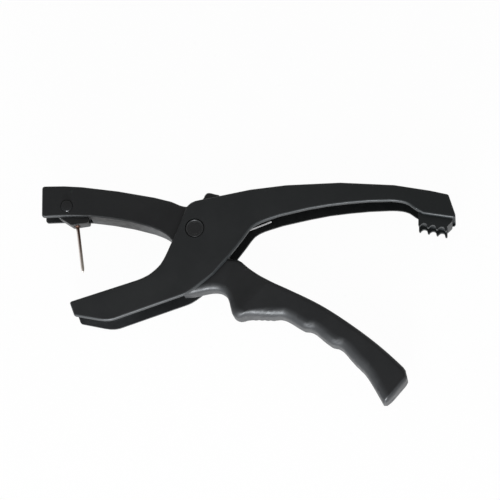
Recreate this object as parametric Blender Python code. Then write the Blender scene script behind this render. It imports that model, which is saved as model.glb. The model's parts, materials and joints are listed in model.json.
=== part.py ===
# Ear tag applicator: a plier with a channel frame, a lever inside it and a rocking pin carrier.
# The tool lies on its side. X runs along it towards the handle's end, Y towards the upper handle,
# and Z through its width. The pivot's axis is X = Y = 0, and the rear cheek lies on Z = 0.
# Metres throughout.

import math

import bmesh
import bpy
from mathutils import Matrix, Vector

# Sizes of the whole tool
TOOL_WIDTH = 0.026
CHEEK_WALL = 0.0032
RUNNING_GAP = 0.0003
CUT_OVERRUN = 0.01
CHEEK_RIM = 0.0013
FACET_TURN = math.radians(8)
RIM_STEPS = 3
ROUND_STEPS = 32

# Outer frame: the upper handle, the head and the lower jaw
HANDLE_REACH = 0.1565
HANDLE_RISE = 0.0281
HEAD_REACH = 0.033
HEAD_DROP = 0.041
THROAT_REACH = 0.0168
LOWER_JAW_REACH = 0.0745
LOWER_JAW_DROP = 0.0577
WEB_WALL = 0.003
END_CORNER = 0.0015
BAY_CORNER = 0.002

# Inner lever: the upper jaw, the hub and the lower grip
LEVER_WIDTH = 0.0174
LEVER_RIM = 0.0012
UPPER_JAW_REACH = 0.0953
UPPER_JAW_RISE = 0.0275
HUB_RADIUS = 0.0145
NOSE_REACH = 0.0139
NOSE_RISE = 0.02285
GRIP_REACH = 0.131
GRIP_DROP = 0.103
GRIP_WIDTH = 0.024
GRIP_TOP_ROUND = 0.0028
GRIP_LOW_ROUND = 0.0062
NECK_WIDTH = 0.0178
NECK_LOW_ROUND = 0.0045
FINGER_DEPTH = 0.0019
GRIP_END_CORNER = 0.006
GRIP_END_BULGE = 0.0022

# Pivot
PIVOT_SHANK_RADIUS = 0.004
PIVOT_HEAD_RADIUS = 0.0056
PIVOT_HEAD_HEIGHT = 0.0017
PIVOT_HEAD_CHAMFER = 0.0015
SLEEVE_WALL = 0.0014
WASHER_RADIUS = 0.009
CIRCLIP_WALL = 0.001
CIRCLIP_RADIUS = 0.006
CIRCLIP_GROOVE_DEPTH = 0.0009
CIRCLIP_GAP_ANGLE = math.radians(80)

# Return spring
SPRING_WIRE = 0.0016
SPRING_RADIUS = 0.0094
SPRING_TURN_GAP = 0.0005
SPRING_WHOLE_TURNS = 2
SPRING_SEAT_WALL = 0.002
SPRING_SLOT_PLAY = 0.0004
FRAME_LEG_ANGLE = math.radians(22)
FRAME_LEG_LENGTH = 0.0443
LEVER_LEG_ANGLE = math.radians(-52)
LEVER_LEG_LENGTH = 0.0236
SPRING_RIB_RADIUS = 0.002
CLOSING_ANGLE = math.radians(30)

# Pin carrier, its axle and its spring, in the upper jaw's pocket
POCKET_WALL = 0.003
POCKET_ROOF = 0.0026
POCKET_END_PLAY = 0.0012
AXLE_REACH = 0.0795
AXLE_RISE = 0.0149
AXLE_RADIUS = 0.002
AXLE_HEAD_RADIUS = 0.0032
AXLE_HEAD_DOME = 0.0011
AXLE_RECESS_RADIUS = 0.0038
AXLE_RECESS_DEPTH = 0.001
AXLE_CLIP_WALL = 0.0004
CARRIER_WIDTH = 0.0105
CARRIER_TILT = math.radians(9)
CARRIER_DROP = 0.0116
CARRIER_REACH = 0.0117
CARRIER_RIM = 0.0004
CARRIER_SPRING_WIRE = 0.0007
CARRIER_SPRING_RADIUS = 0.0032
CARRIER_SPRING_TURN_GAP = 0.0005
CARRIER_SPRING_WHOLE_TURNS = 2
CARRIER_LEG_ANGLE = math.radians(110)
CARRIER_SLOT_PLAY = 0.0004

# Applicator pin and the screw that locks it
PIN_RADIUS = 0.00105
PIN_LENGTH = 0.0295
PIN_POINT_LENGTH = 0.0028
PIN_SHOULDER_SHARE = 0.72
PIN_COLLAR_RADIUS = 0.00135
PIN_COLLAR_LENGTH = 0.001
PIN_STEM_RADIUS = 0.0018
PIN_STEM_LENGTH = 0.0052
PIN_OFFSET = 0.0039
LOCK_SCREW_RADIUS = 0.0015
LOCK_SCREW_LENGTH = 0.0036
LOCK_SCREW_SOCKET_RADIUS = 0.0008
LOCK_SCREW_SOCKET_DEPTH = 0.0015

# Tag seat, anvil plate, clip and screws on the lower jaw
ANVIL_RECESS = 0.0005
ANVIL_WALL = 0.0015
ANVIL_LENGTH = 0.040
SEAT_WALL = 0.003
SEAT_LENGTH = 0.043
TAG_SLOT_WIDTH = 0.009
TAG_SLOT_LENGTH = 0.021
CLIP_WIDTH = 0.0145
CLIP_LENGTH = 0.034
CLIP_WALL = 0.0008
CLIP_DIP = 0.0016
CLIP_DIP_SHARES = [(1.0, 0.0), (0.72, 0.75), (0.45, 1.0), (0.14, 0.3)]
CLIP_SLOT_WIDTH = 0.0065
SCREW_RADIUS = 0.00125
SCREW_HEAD_RADIUS = 0.0024
SCREW_HEAD_HEIGHT = 0.0016
SCREW_SOCKET_RADIUS = 0.0011
SCREW_SOCKET_DEPTH = 0.0009
SCREW_SPACING = 0.008

# Comb at the handle's end
COMB_LENGTH = 0.0201
COMB_HEIGHT = 0.0104
COMB_SLOPE = 0.21
COMB_TOOTH_COUNT = 4
COMB_TOOTH_PITCH = 0.00525
COMB_GROOVE_DEPTH = 0.0022
COMB_TIP_RADIUS = 0.0007
COMB_KEY_WIDTH = 0.008
COMB_KEY_HEIGHT = 0.0035

# Heights through the tool's width
MID_PLANE = TOOL_WIDTH / 2
BAY_LOW = CHEEK_WALL
BAY_HIGH = TOOL_WIDTH - CHEEK_WALL
LEVER_LOW = MID_PLANE - LEVER_WIDTH / 2
LEVER_HIGH = MID_PLANE + LEVER_WIDTH / 2
SIDE_GAP = LEVER_LOW - BAY_LOW
PIVOT_BORE = PIVOT_SHANK_RADIUS + RUNNING_GAP
SLEEVE_RADIUS = PIVOT_BORE + SLEEVE_WALL
LEVER_BORE = SLEEVE_RADIUS + RUNNING_GAP
AXLE = Vector((-AXLE_REACH, AXLE_RISE))

# Outlines, as shares of the sizes that they follow
HEAD_CROWN_SHARES = [(-0.173, 0.464), (-0.080, 0.568), (0.158, 0.647), (0.486, 0.727)]
HANDLE_CREST_SHARES = [(0.0, 0.853), (0.174, 0.948), (0.437, 1.0), (0.698, 0.943), (0.871, 0.820)]
HANDLE_END_TOP_SHARE = (0.960, 0.733)
HANDLE_END_LOW_SHARE = (1.0, 0.211)
HANDLE_BLOCK_SHARE = (0.838, 0.316)
HANDLE_HOLLOW_SHARES = [(0.796, 0.427), (0.770, 0.510), (0.733, 0.560), (0.674, 0.574), (0.575, 0.556),
                        (0.478, 0.518), (0.379, 0.463), (0.280, 0.378), (0.147, 0.243), (0.083, 0.154),
                        (0.037, 0.074)]
BELLY_SHARES = [(1.038, -0.002), (0.957, -0.080), (0.875, -0.176), (0.700, -0.366), (0.540, -0.526),
                (0.365, -0.692), (0.048, -0.918), (-0.115, -1.008), (-0.290, -1.064)]
JAW_KEEL_SHARES = [(0.525, 0.990), (0.584, 1.0), (0.631, 1.0), (0.685, 0.993), (0.794, 0.972)]
JAW_TIP_LOW_SHARE = (0.942, 0.944)
JAW_TIP_TOP_SHARE = (1.004, 0.784)
JAW_LINE_SHARE = (0.305, 0.552)
THROAT_LOW_SHARES = [(0.182, 0.495), (0.120, 0.446), (0.059, 0.382), (0.0, 0.270)]
THROAT_HIGH_SHARES = [(0.821, -0.296), (0.631, -0.035), (0.423, 0.313)]

UPPER_JAW_TOP_SHARES = [(-0.970, 0.996), (-0.857, 1.0), (-0.741, 0.978), (-0.507, 0.879), (-0.273, 0.736),
                        (-0.163, 0.641), (-0.080, 0.531)]
UPPER_JAW_END_TOP_SHARE = (-1.0, 0.992)
UPPER_JAW_END_LOW_SHARE = (-0.993, 0.272)
UPPER_JAW_LOW_SHARES = [(-0.907, 0.284), (-0.797, 0.289), (-0.678, 0.275), (-0.547, 0.218), (-0.416, 0.136),
                        (-0.285, 0.020), (-0.232, -0.046), (-0.153, -0.228)]
HUB_TOP_SHARES = [(0.0, 0.678), (0.187, 0.788)]
NOSE_SHARES = [(0.316, 0.875), (0.374, 0.958), (0.453, 0.998), (0.626, 1.0), (0.755, 0.978), (0.98, 0.947)]
NOSE_FOOT_SHARE = (1.0, 0.57)
NECK_CORE_SHARES = [(0.575, -0.293), (0.621, -0.415), (0.621, -0.537), (0.560, -0.700), (0.394, -0.783),
                    (0.242, -0.788), (0.0, -0.817), (-0.170, -0.841), (-0.273, -0.707), (-0.333, -0.415)]
NECK_LEFT_SHARES = [(-0.394, -0.232)]
ARCH_SHARES = [(-0.050, -0.383), (-0.008, -0.379), (0.038, -0.366), (0.088, -0.356), (0.119, -0.361),
               (0.144, -0.381), (0.160, -0.419), (0.170, -0.465), (0.181, -0.504), (0.208, -0.525)]
NECK_TOP_SHARES = [(-0.038, -0.262), (0.004, -0.243), (0.042, -0.223), (0.092, -0.199), (0.149, -0.170),
                   (0.198, -0.177), (0.248, -0.226), (0.298, -0.270), (0.336, -0.297), (0.366, -0.317)]

GRIP_TOP_SHARES = [(0.366, -0.317), (0.450, -0.365), (0.584, -0.449), (0.718, -0.558), (0.847, -0.681),
                   (0.992, -0.849)]
RIDGE_SHARES = [(0.208, -0.525), (0.370, -0.515), (0.508, -0.584), (0.637, -0.678), (0.752, -0.794),
                (0.868, -1.008)]
FINGER_DEPTH_SHARES = [0.95, 1.0, 1.0, 1.1, 0.6]
FINGER_SKEW = 0.8
FINGER_STEPS = 6
NECK_STEPS = 3
SECTION_STEPS = 4
NECK_GROWTH_SHARES = (0.44, 1.0)
GRIP_END_SHARES = [(0.975, 0.25), (0.90, 0.68), (0.72, 0.95), (0.45, 1.0)]

CARRIER_BACK_SHARES = [(0.957, 1.0), (1.06, 0.55), (1.13, 0.0)]
CARRIER_TOP_SHARES = [(1.10, -0.20), (0.71, -0.62), (0.24, -0.66), (-0.24, -0.62), (-0.56, -0.30), (-0.64, 0.10)]
CARRIER_NOSE_SHARES = [(-0.563, 0.44), (0.094, 1.0)]

BLACK_BODY = ("body_plastic", (0.021, 0.022, 0.024), 0.5, 0.0)
BLACK_LEVER = ("lever_plastic", (0.024, 0.025, 0.026), 0.5, 0.0)
STEEL = ("bright_steel", (0.55, 0.55, 0.56), 0.3, 1.0)
BLACK_STEEL = ("blacked_steel", (0.03, 0.032, 0.035), 0.35, 0.8)
PIN_METAL = ("pin_metal", (0.42, 0.36, 0.31), 0.35, 1.0)
NYLON = ("nylon", (0.62, 0.60, 0.55), 0.5, 0.0)


def clear_scene():
    for thing in list(bpy.data.objects):
        bpy.data.objects.remove(thing, do_unlink=True)


def finish(finish_values):
    name, colour, roughness, metallic = finish_values
    material = bpy.data.materials.get(name)
    if material is None:
        material = bpy.data.materials.new(name)
        material.use_nodes = True
        shader = material.node_tree.nodes["Principled BSDF"]
        shader.inputs["Base Color"].default_value = (*colour, 1.0)
        shader.inputs["Roughness"].default_value = roughness
        shader.inputs["Metallic"].default_value = metallic
    return material


def object_from(name, bm, finish_values=None):
    bmesh.ops.remove_doubles(bm, verts=bm.verts, dist=RUNNING_GAP / 1000)
    bmesh.ops.recalc_face_normals(bm, faces=bm.faces)
    mesh = bpy.data.meshes.new(name)
    bm.to_mesh(mesh)
    bm.free()
    thing = bpy.data.objects.new(name, mesh)
    bpy.context.scene.collection.objects.link(thing)
    if finish_values:
        mesh.materials.append(finish(finish_values))
        mesh.shade_smooth()
        mesh.set_sharp_from_angle(angle=math.radians(35))
    return thing


def combine(body, tool, operation):
    """Cuts or joins a tool into the body and removes the tool."""
    boolean = body.modifiers.new(tool.name, "BOOLEAN")
    boolean.object = tool
    boolean.operation = operation
    boolean.solver = "EXACT"
    bpy.context.view_layer.update()
    result = body.evaluated_get(bpy.context.evaluated_depsgraph_get())
    mesh = bpy.data.meshes.new_from_object(result)
    body.modifiers.clear()
    body.data = mesh
    bpy.data.objects.remove(tool, do_unlink=True)
    mesh.shade_smooth()
    mesh.set_sharp_from_angle(angle=math.radians(35))


def cut(body, tool):
    combine(body, tool, "DIFFERENCE")


def join(body, tool):
    combine(body, tool, "UNION")


def polar(radius, angle):
    return Vector((radius * math.cos(angle), radius * math.sin(angle)))


def placed(shares, near_x, far_x, near_y, far_y):
    """Points at the given shares of the way from the near to the far edges."""
    return [Vector((near_x + (far_x - near_x) * share_x, near_y + (far_y - near_y) * share_y))
            for share_x, share_y in shares]


def smooth_run(points, steps_per_span=None):
    """A smooth curve through the points, with more facets where it turns more if no count is given."""
    points = [Vector(point) for point in points]
    chords = [(end - start).length for start, end in zip(points, points[1:])]
    slopes = [(end - start) / chord for start, end, chord in zip(points, points[1:], chords)]
    tangents = []
    for index in range(len(points)):
        if index == 0:
            tangents.append(None)
        elif index == len(points) - 1:
            tangents.append(None)
        else:
            before, after = chords[index - 1], chords[index]
            tangents.append((slopes[index - 1] * after + slopes[index] * before) / (before + after))
    tangents[0] = 1.5 * slopes[0] - 0.5 * tangents[1] if len(points) > 2 else slopes[0]
    tangents[-1] = 1.5 * slopes[-1] - 0.5 * tangents[-2] if len(points) > 2 else slopes[-1]
    run = [points[0]]
    for index, chord in enumerate(chords):
        start, end = points[index], points[index + 1]
        leave, arrive = tangents[index] * chord, tangents[index + 1] * chord
        turn = leave.angle(end - start, 0.0) + arrive.angle(end - start, 0.0)
        steps = steps_per_span or max(1, math.ceil(turn / FACET_TURN))
        for step in range(1, steps + 1):
            t = step / steps
            run.append((2 * t ** 3 - 3 * t ** 2 + 1) * start + (t ** 3 - 2 * t ** 2 + t) * leave
                       + (3 * t ** 2 - 2 * t ** 3) * end + (t ** 3 - t ** 2) * arrive)
    return run


def rounded(before, corner, after, radius, steps=3):
    """Arc points that round a corner between its two neighbours."""
    before, corner, after = Vector(before), Vector(corner), Vector(after)
    incoming = (before - corner).normalized()
    outgoing = (after - corner).normalized()
    half_angle = incoming.angle(outgoing) / 2
    reach = radius / math.tan(half_angle)
    centre = corner + (incoming + outgoing).normalized() * (radius / math.sin(half_angle))
    first = corner + incoming * reach - centre
    last = corner + outgoing * reach - centre
    sweep = first.angle_signed(last)
    return [centre + Matrix.Rotation(-sweep * step / steps, 2) @ first for step in range(steps + 1)]


def without_repeats(points):
    kept = [points[0]]
    for point in points[1:]:
        if (point - kept[-1]).length > RUNNING_GAP / 10:
            kept.append(point)
    if (kept[0] - kept[-1]).length < RUNNING_GAP / 10:
        kept.pop()
    return kept


def prism(name, outline, low, high, finish_values=None, rim=0.0, placement=None):
    """An outline drawn in X and Y and raised along Z, with round rims if asked."""
    bm = bmesh.new()
    base = bm.faces.new([bm.verts.new((point.x, point.y, low)) for point in without_repeats(outline)])
    raised = bmesh.ops.extrude_face_region(bm, geom=[base])
    top = [item for item in raised["geom"] if isinstance(item, bmesh.types.BMVert)]
    bmesh.ops.translate(bm, verts=top, vec=(0, 0, high - low))
    bmesh.ops.recalc_face_normals(bm, faces=bm.faces)
    if rim:
        rims = [edge for edge in bm.edges if edge.verts[0].co.z == edge.verts[1].co.z]
        bmesh.ops.bevel(bm, geom=rims, offset=rim, segments=RIM_STEPS, profile=0.5, affect="EDGES", material=-1)
    if placement:
        bmesh.ops.transform(bm, matrix=placement, verts=bm.verts)
    return object_from(name, bm, finish_values)


def turned(name, profile, finish_values=None, placement=None, steps=ROUND_STEPS):
    """A profile of radius and height pairs turned about Z, open profiles ending on the axis."""
    bm = bmesh.new()
    verts = [bm.verts.new((radius, 0, height)) for radius, height in profile]
    pairs = list(zip(verts, verts[1:]))
    if profile[0][0] > 0:
        pairs.append((verts[-1], verts[0]))
    edges = [bm.edges.new(pair) for pair in pairs]
    bmesh.ops.spin(bm, geom=verts + edges, axis=(0, 0, 1), cent=(0, 0, 0), angle=math.tau,
                   steps=steps, use_merge=True)
    if placement:
        bmesh.ops.transform(bm, matrix=placement, verts=bm.verts)
    return object_from(name, bm, finish_values)


def bore(name, radius, low, high, centre=(0, 0), placement=None):
    """A round cutter, or a round bar, along Z."""
    spot = Matrix.Translation((centre[0], centre[1], 0))
    if placement:
        spot = placement @ spot
    return turned(name, [(0, low), (radius, low), (radius, high), (0, high)], placement=spot)


def wire(name, points, thickness, finish_values):
    """A round wire along a list of points."""
    curve = bpy.data.curves.new(name, "CURVE")
    curve.dimensions = "3D"
    curve.bevel_depth = thickness / 2
    curve.bevel_resolution = 1
    curve.use_fill_caps = True
    spline = curve.splines.new("POLY")
    spline.points.add(len(points) - 1)
    for knot, point in zip(spline.points, points):
        knot.co = (*point, 1.0)
    curve.materials.append(finish(finish_values))
    thing = bpy.data.objects.new(name, curve)
    bpy.context.scene.collection.objects.link(thing)
    return thing


def least_turn_gap(points, thickness, steps_per_turn):
    """The smallest gap between points of the wire that are half a turn or more apart."""
    nearest = min((points[first] - points[second]).length
                  for first in range(len(points))
                  for second in range(first + steps_per_turn // 2, len(points)))
    return nearest - thickness


def hang(thing, holder):
    thing.parent = holder
    thing.matrix_parent_inverse = Matrix.Identity(4)
    return thing


def empty(name, location, holder=None):
    thing = bpy.data.objects.new(name, None)
    thing.location = location
    bpy.context.scene.collection.objects.link(thing)
    if holder:
        hang(thing, holder)
    return thing


# Outer frame

def crest_points():
    """The frame's upper edge, from the notch over the throat to the handle's end."""
    crown = placed(HEAD_CROWN_SHARES, 0, HEAD_REACH, 0, HANDLE_RISE)
    crest = placed(HANDLE_CREST_SHARES, HEAD_REACH, HANDLE_REACH, 0, HANDLE_RISE)
    end = placed([HANDLE_END_TOP_SHARE], HEAD_REACH, HANDLE_REACH, 0, HANDLE_RISE)
    return smooth_run(crown + crest + end)


def jaw_line():
    """The lower jaw's straight upper edge: its corner at the tip, its direction and its normal."""
    tip, back = placed([JAW_TIP_TOP_SHARE, JAW_LINE_SHARE], -THROAT_REACH, -LOWER_JAW_REACH, 0, -LOWER_JAW_DROP)
    along = (back - tip).normalized()
    return tip, along, Vector((-along.y, along.x))


def cheek_outline():
    crest = crest_points()
    handle = (HEAD_REACH, HANDLE_REACH, 0, HANDLE_RISE)
    jaw = (-THROAT_REACH, -LOWER_JAW_REACH, 0, -LOWER_JAW_DROP)
    end_low, block = placed([HANDLE_END_LOW_SHARE, HANDLE_BLOCK_SHARE], *handle)
    hollow = placed(HANDLE_HOLLOW_SHARES, *handle)
    belly = placed(BELLY_SHARES, 0, HEAD_REACH, 0, HEAD_DROP)
    keel = placed(JAW_KEEL_SHARES, *jaw)
    tip_low, tip_top, line_end = placed([JAW_TIP_LOW_SHARE, JAW_TIP_TOP_SHARE, JAW_LINE_SHARE], *jaw)
    throat = placed(THROAT_LOW_SHARES, *jaw) + placed(THROAT_HIGH_SHARES, 0, -THROAT_REACH, 0, HANDLE_RISE)
    outline = crest[:-1]
    outline += rounded(crest[-2], crest[-1], end_low, END_CORNER)
    outline += rounded(crest[-1], end_low, block, END_CORNER)
    outline += smooth_run([block] + hollow + belly)
    outline += smooth_run(keel)
    outline += rounded(keel[-1], tip_low, tip_top, END_CORNER)
    outline += rounded(tip_low, tip_top, line_end, END_CORNER)
    outline += smooth_run([line_end] + throat + [crest[0]])
    return outline


def comb_corner():
    """The comb's upper left corner, under the handle's end."""
    left = HANDLE_REACH - COMB_LENGTH - 2 * END_CORNER + RUNNING_GAP
    return Vector((left, HANDLE_RISE * HANDLE_BLOCK_SHARE[1] + CHEEK_WALL))


def bay_outline():
    """The space between the cheeks: all but the handle's web, the end block and the tag seat."""
    tip, along, up = jaw_line()
    seat_top = -(ANVIL_RECESS + ANVIL_WALL + RUNNING_GAP)
    seat_low = seat_top - SEAT_WALL
    web_start = NOSE_REACH + RUNNING_GAP
    comb = comb_corner() + Vector((-RUNNING_GAP, RUNNING_GAP))
    ceiling = [point - Vector((0, WEB_WALL)) for point in crest_points()]
    ceiling = [point for point in ceiling if web_start < point.x < comb.x - BAY_CORNER]
    ceiling_start = Vector((web_start, ceiling[0].y - (ceiling[1].y - ceiling[0].y)
                            * (ceiling[0].x - web_start) / (ceiling[1].x - ceiling[0].x)))
    ceiling_end = Vector((comb.x, ceiling[-1].y))
    clear_top = HANDLE_RISE + CUT_OVERRUN
    clear_low = -(LOWER_JAW_DROP + CUT_OVERRUN)
    clear_left = -(LOWER_JAW_REACH + CUT_OVERRUN)
    clear_right = HANDLE_REACH + CUT_OVERRUN
    seat_back_top = tip + along * SEAT_LENGTH + up * seat_top
    seat_back_low = tip + along * SEAT_LENGTH + up * seat_low
    outline = [Vector((clear_left, clear_top)), Vector((web_start, clear_top)), ceiling_start]
    outline += ceiling
    outline += rounded(ceiling[-1], ceiling_end, comb, BAY_CORNER)
    outline += [comb, comb + Vector((clear_right - comb.x, -COMB_SLOPE * (clear_right - comb.x)))]
    outline += [Vector((clear_right, clear_low)), Vector((clear_left, clear_low))]
    outline += [tip - along * CUT_OVERRUN + up * seat_low]
    outline += rounded(outline[-1], seat_back_low, seat_back_top, SEAT_WALL / 3)
    outline += rounded(seat_back_low, seat_back_top, tip + up * seat_top, SEAT_WALL / 3)
    outline += [tip - along * CUT_OVERRUN + up * seat_top]
    return outline


def seat_placement(height):
    """Local X along the lower jaw, local Y through the tool's width, local Z out of the seat."""
    tip, along, up = jaw_line()
    origin = tip + up * height
    return Matrix(((along.x, 0, up.x, origin.x), (along.y, 0, up.y, origin.y),
                   (0, -1, 0, MID_PLANE), (0, 0, 0, 1)))


def slot_outline(width, length, before):
    """A slot that is open at the jaw's tip and round at its far end."""
    radius = width / 2
    bend = [Vector((length - radius, 0)) + polar(radius, math.radians(angle)) for angle in range(-90, 91, 15)]
    return [Vector((-before, -radius))] + bend + [Vector((-before, radius))]


def screw_spots():
    first = TAG_SLOT_LENGTH + SCREW_SPACING / 2
    return [(first, 0), (first + SCREW_SPACING, 0)]


def frame_leg_tip():
    """The end of the spring leg that runs straight from the coil into the handle."""
    return polar(SPRING_RADIUS, FRAME_LEG_ANGLE - math.pi / 2) + polar(FRAME_LEG_LENGTH, FRAME_LEG_ANGLE)


def spring_rib_centre():
    """The rib that the spring's frame leg bears on, above the leg's end."""
    run = polar(1, FRAME_LEG_ANGLE)
    above = Vector((-run.y, run.x))
    return frame_leg_tip() - run * SPRING_WIRE + above * (SPRING_WIRE / 2 + RUNNING_GAP + SPRING_RIB_RADIUS)


def comb_key_outline(play):
    """The comb's key, a tongue that stands up into the handle's end block."""
    corner = comb_corner()
    middle = corner + Vector((COMB_LENGTH / 2, -COMB_SLOPE * COMB_LENGTH / 2))
    half = COMB_KEY_WIDTH / 2 + play
    return [middle + Vector((-half, -COMB_KEY_HEIGHT)), middle + Vector((half, -COMB_KEY_HEIGHT)),
            middle + Vector((half, COMB_KEY_HEIGHT + play)), middle + Vector((-half, COMB_KEY_HEIGHT + play))]


def make_outer_frame():
    frame = prism("outer_frame", cheek_outline(), 0, TOOL_WIDTH, BLACK_BODY, rim=CHEEK_RIM)
    cut(frame, prism("bay", bay_outline(), BAY_LOW, BAY_HIGH))
    cut(frame, prism("key_slot", comb_key_outline(RUNNING_GAP), BAY_LOW + CHEEK_WALL, BAY_HIGH - CHEEK_WALL))
    rib = spring_rib_centre()
    join(frame, bore("rib", SPRING_RIB_RADIUS, BAY_LOW - RUNNING_GAP, BAY_HIGH + RUNNING_GAP, rib))
    cut(frame, bore("pivot_bore", PIVOT_BORE, -CUT_OVERRUN, TOOL_WIDTH + CUT_OVERRUN))
    head_floor = TOOL_WIDTH - PIVOT_HEAD_HEIGHT - RUNNING_GAP
    cut(frame, bore("head_recess", PIVOT_HEAD_RADIUS + RUNNING_GAP, head_floor, TOOL_WIDTH + CUT_OVERRUN))
    cut(frame, bore("clip_recess", CIRCLIP_RADIUS + 2 * RUNNING_GAP, -CUT_OVERRUN, clip_recess_depth()))
    seat = seat_placement(0)
    tag_slot = slot_outline(TAG_SLOT_WIDTH, TAG_SLOT_LENGTH, CUT_OVERRUN)
    depth = ANVIL_RECESS + ANVIL_WALL + SEAT_WALL
    cut(frame, prism("tag_slot", tag_slot, -depth - RUNNING_GAP * 2, CUT_OVERRUN, placement=seat))
    for spot in screw_spots():
        cut(frame, bore("screw_hole", SCREW_RADIUS + RUNNING_GAP, -depth - CUT_OVERRUN, 0, spot, seat))
    return frame


# Comb at the handle's end

def make_stop_comb():
    """Rounded teeth with half-round grooves between them, on a block with a key on top."""
    corner = comb_corner()
    foot = corner + Vector((0, -COMB_HEIGHT + COMB_SLOPE * COMB_TOOTH_PITCH / 4))
    teeth = []
    for tooth in range(COMB_TOOTH_COUNT):
        tip = foot + Vector((COMB_TIP_RADIUS + tooth * COMB_TOOTH_PITCH,
                             COMB_TIP_RADIUS - COMB_SLOPE * tooth * COMB_TOOTH_PITCH))
        teeth += [tip + polar(COMB_TIP_RADIUS, math.radians(angle)) for angle in (-180, -130, -90, -50, 0)]
        if tooth < COMB_TOOTH_COUNT - 1:
            half = COMB_TOOTH_PITCH / 2
            dip = tip + Vector((half, -COMB_SLOPE * half))
            reach = half - COMB_TIP_RADIUS
            rise = COMB_GROOVE_DEPTH - COMB_TIP_RADIUS
            teeth += [dip + Vector((reach * math.cos(math.radians(angle)), rise * math.sin(math.radians(angle))))
                      for angle in (150, 120, 90, 60, 30)]
    last = teeth[-1]
    shoulder = Vector((corner.x + COMB_LENGTH, last.y + COMB_HEIGHT / 2))
    top_right = corner + Vector((COMB_LENGTH, -COMB_SLOPE * COMB_LENGTH))
    outline = [corner] + teeth
    outline += [last + Vector((0, COMB_GROOVE_DEPTH))]
    outline += rounded(last + Vector((0, COMB_GROOVE_DEPTH)), shoulder, top_right, COMB_TIP_RADIUS * 2)
    outline += [top_right]
    comb = prism("stop_comb", outline, BAY_LOW + RUNNING_GAP, BAY_HIGH - RUNNING_GAP, BLACK_BODY)
    low = BAY_LOW + CHEEK_WALL + RUNNING_GAP
    high = BAY_HIGH - CHEEK_WALL - RUNNING_GAP
    join(comb, prism("key", comb_key_outline(0), low, high))
    return comb


# Pivot

def clip_recess_depth():
    return CIRCLIP_WALL + 4 * RUNNING_GAP


def make_pivot_pin():
    """A headed pin: the head's face and the tail are flush with the cheeks."""
    head_low = TOOL_WIDTH - PIVOT_HEAD_HEIGHT
    groove_radius = PIVOT_SHANK_RADIUS - CIRCLIP_GROOVE_DEPTH
    profile = [(0, 0), (PIVOT_SHANK_RADIUS - RUNNING_GAP, 0), (PIVOT_SHANK_RADIUS, RUNNING_GAP),
               (PIVOT_SHANK_RADIUS, 2 * RUNNING_GAP), (groove_radius, 2 * RUNNING_GAP),
               (groove_radius, clip_recess_depth()), (PIVOT_SHANK_RADIUS, clip_recess_depth()),
               (PIVOT_SHANK_RADIUS, head_low), (PIVOT_HEAD_RADIUS, head_low),
               (PIVOT_HEAD_RADIUS, TOOL_WIDTH - PIVOT_HEAD_CHAMFER / 2),
               (PIVOT_HEAD_RADIUS - PIVOT_HEAD_CHAMFER, TOOL_WIDTH), (0, TOOL_WIDTH)]
    return turned("pivot_pin", profile, BLACK_STEEL)


def make_circlip():
    """A spring clip, open on one side, in the groove at the pin's tail."""
    inner = PIVOT_SHANK_RADIUS - CIRCLIP_GROOVE_DEPTH + RUNNING_GAP
    low = 3 * RUNNING_GAP
    start = CIRCLIP_GAP_ANGLE / 2
    sweep = math.tau - CIRCLIP_GAP_ANGLE
    steps = ROUND_STEPS * 3 // 4
    angles = [start + sweep * step / steps for step in range(steps + 1)]
    outline = [polar(CIRCLIP_RADIUS, angle) for angle in angles]
    outline += [polar(inner, angle) for angle in reversed(angles)]
    return prism("pivot_circlip", outline, low, low + CIRCLIP_WALL, BLACK_STEEL)


def ring(name, inner, outer, low, high, finish_values):
    return turned(name, [(inner, low), (outer, low), (outer, high), (inner, high)], finish_values)


def make_thrust_washers():
    low = BAY_LOW + RUNNING_GAP
    high = LEVER_HIGH + RUNNING_GAP
    wall = SIDE_GAP - 2 * RUNNING_GAP
    return [ring("rear_thrust_washer", PIVOT_BORE, WASHER_RADIUS, low, low + wall, NYLON),
            ring("front_thrust_washer", PIVOT_BORE, WASHER_RADIUS, high, high + wall, NYLON)]


# Return spring

def return_spring_points():
    """From the lever leg's tip round the coil to the frame leg's tip."""
    leave = FRAME_LEG_ANGLE - math.pi / 2
    enter = LEVER_LEG_ANGLE + math.pi / 2
    sweep = (leave - enter) % math.tau + SPRING_WHOLE_TURNS * math.tau
    pitch = SPRING_WIRE + SPRING_TURN_GAP
    height = pitch * sweep / math.tau
    high = MID_PLANE + height / 2
    steps = round(sweep / math.radians(20))
    coil = [Vector((*polar(SPRING_RADIUS, enter + sweep * step / steps), high - height * step / steps))
            for step in range(steps + 1)]
    lever_tip = coil[0] + Vector((*polar(LEVER_LEG_LENGTH, LEVER_LEG_ANGLE), 0))
    return [lever_tip] + coil + [Vector((*frame_leg_tip(), coil[-1].z))]


def make_return_spring():
    points = return_spring_points()
    gap = least_turn_gap(points[1:-1], SPRING_WIRE, 18)
    print("return_spring least gap to itself, mm:", round(gap * 1000, 2))
    return wire("return_spring", points, SPRING_WIRE, STEEL)


# Inner lever

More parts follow.
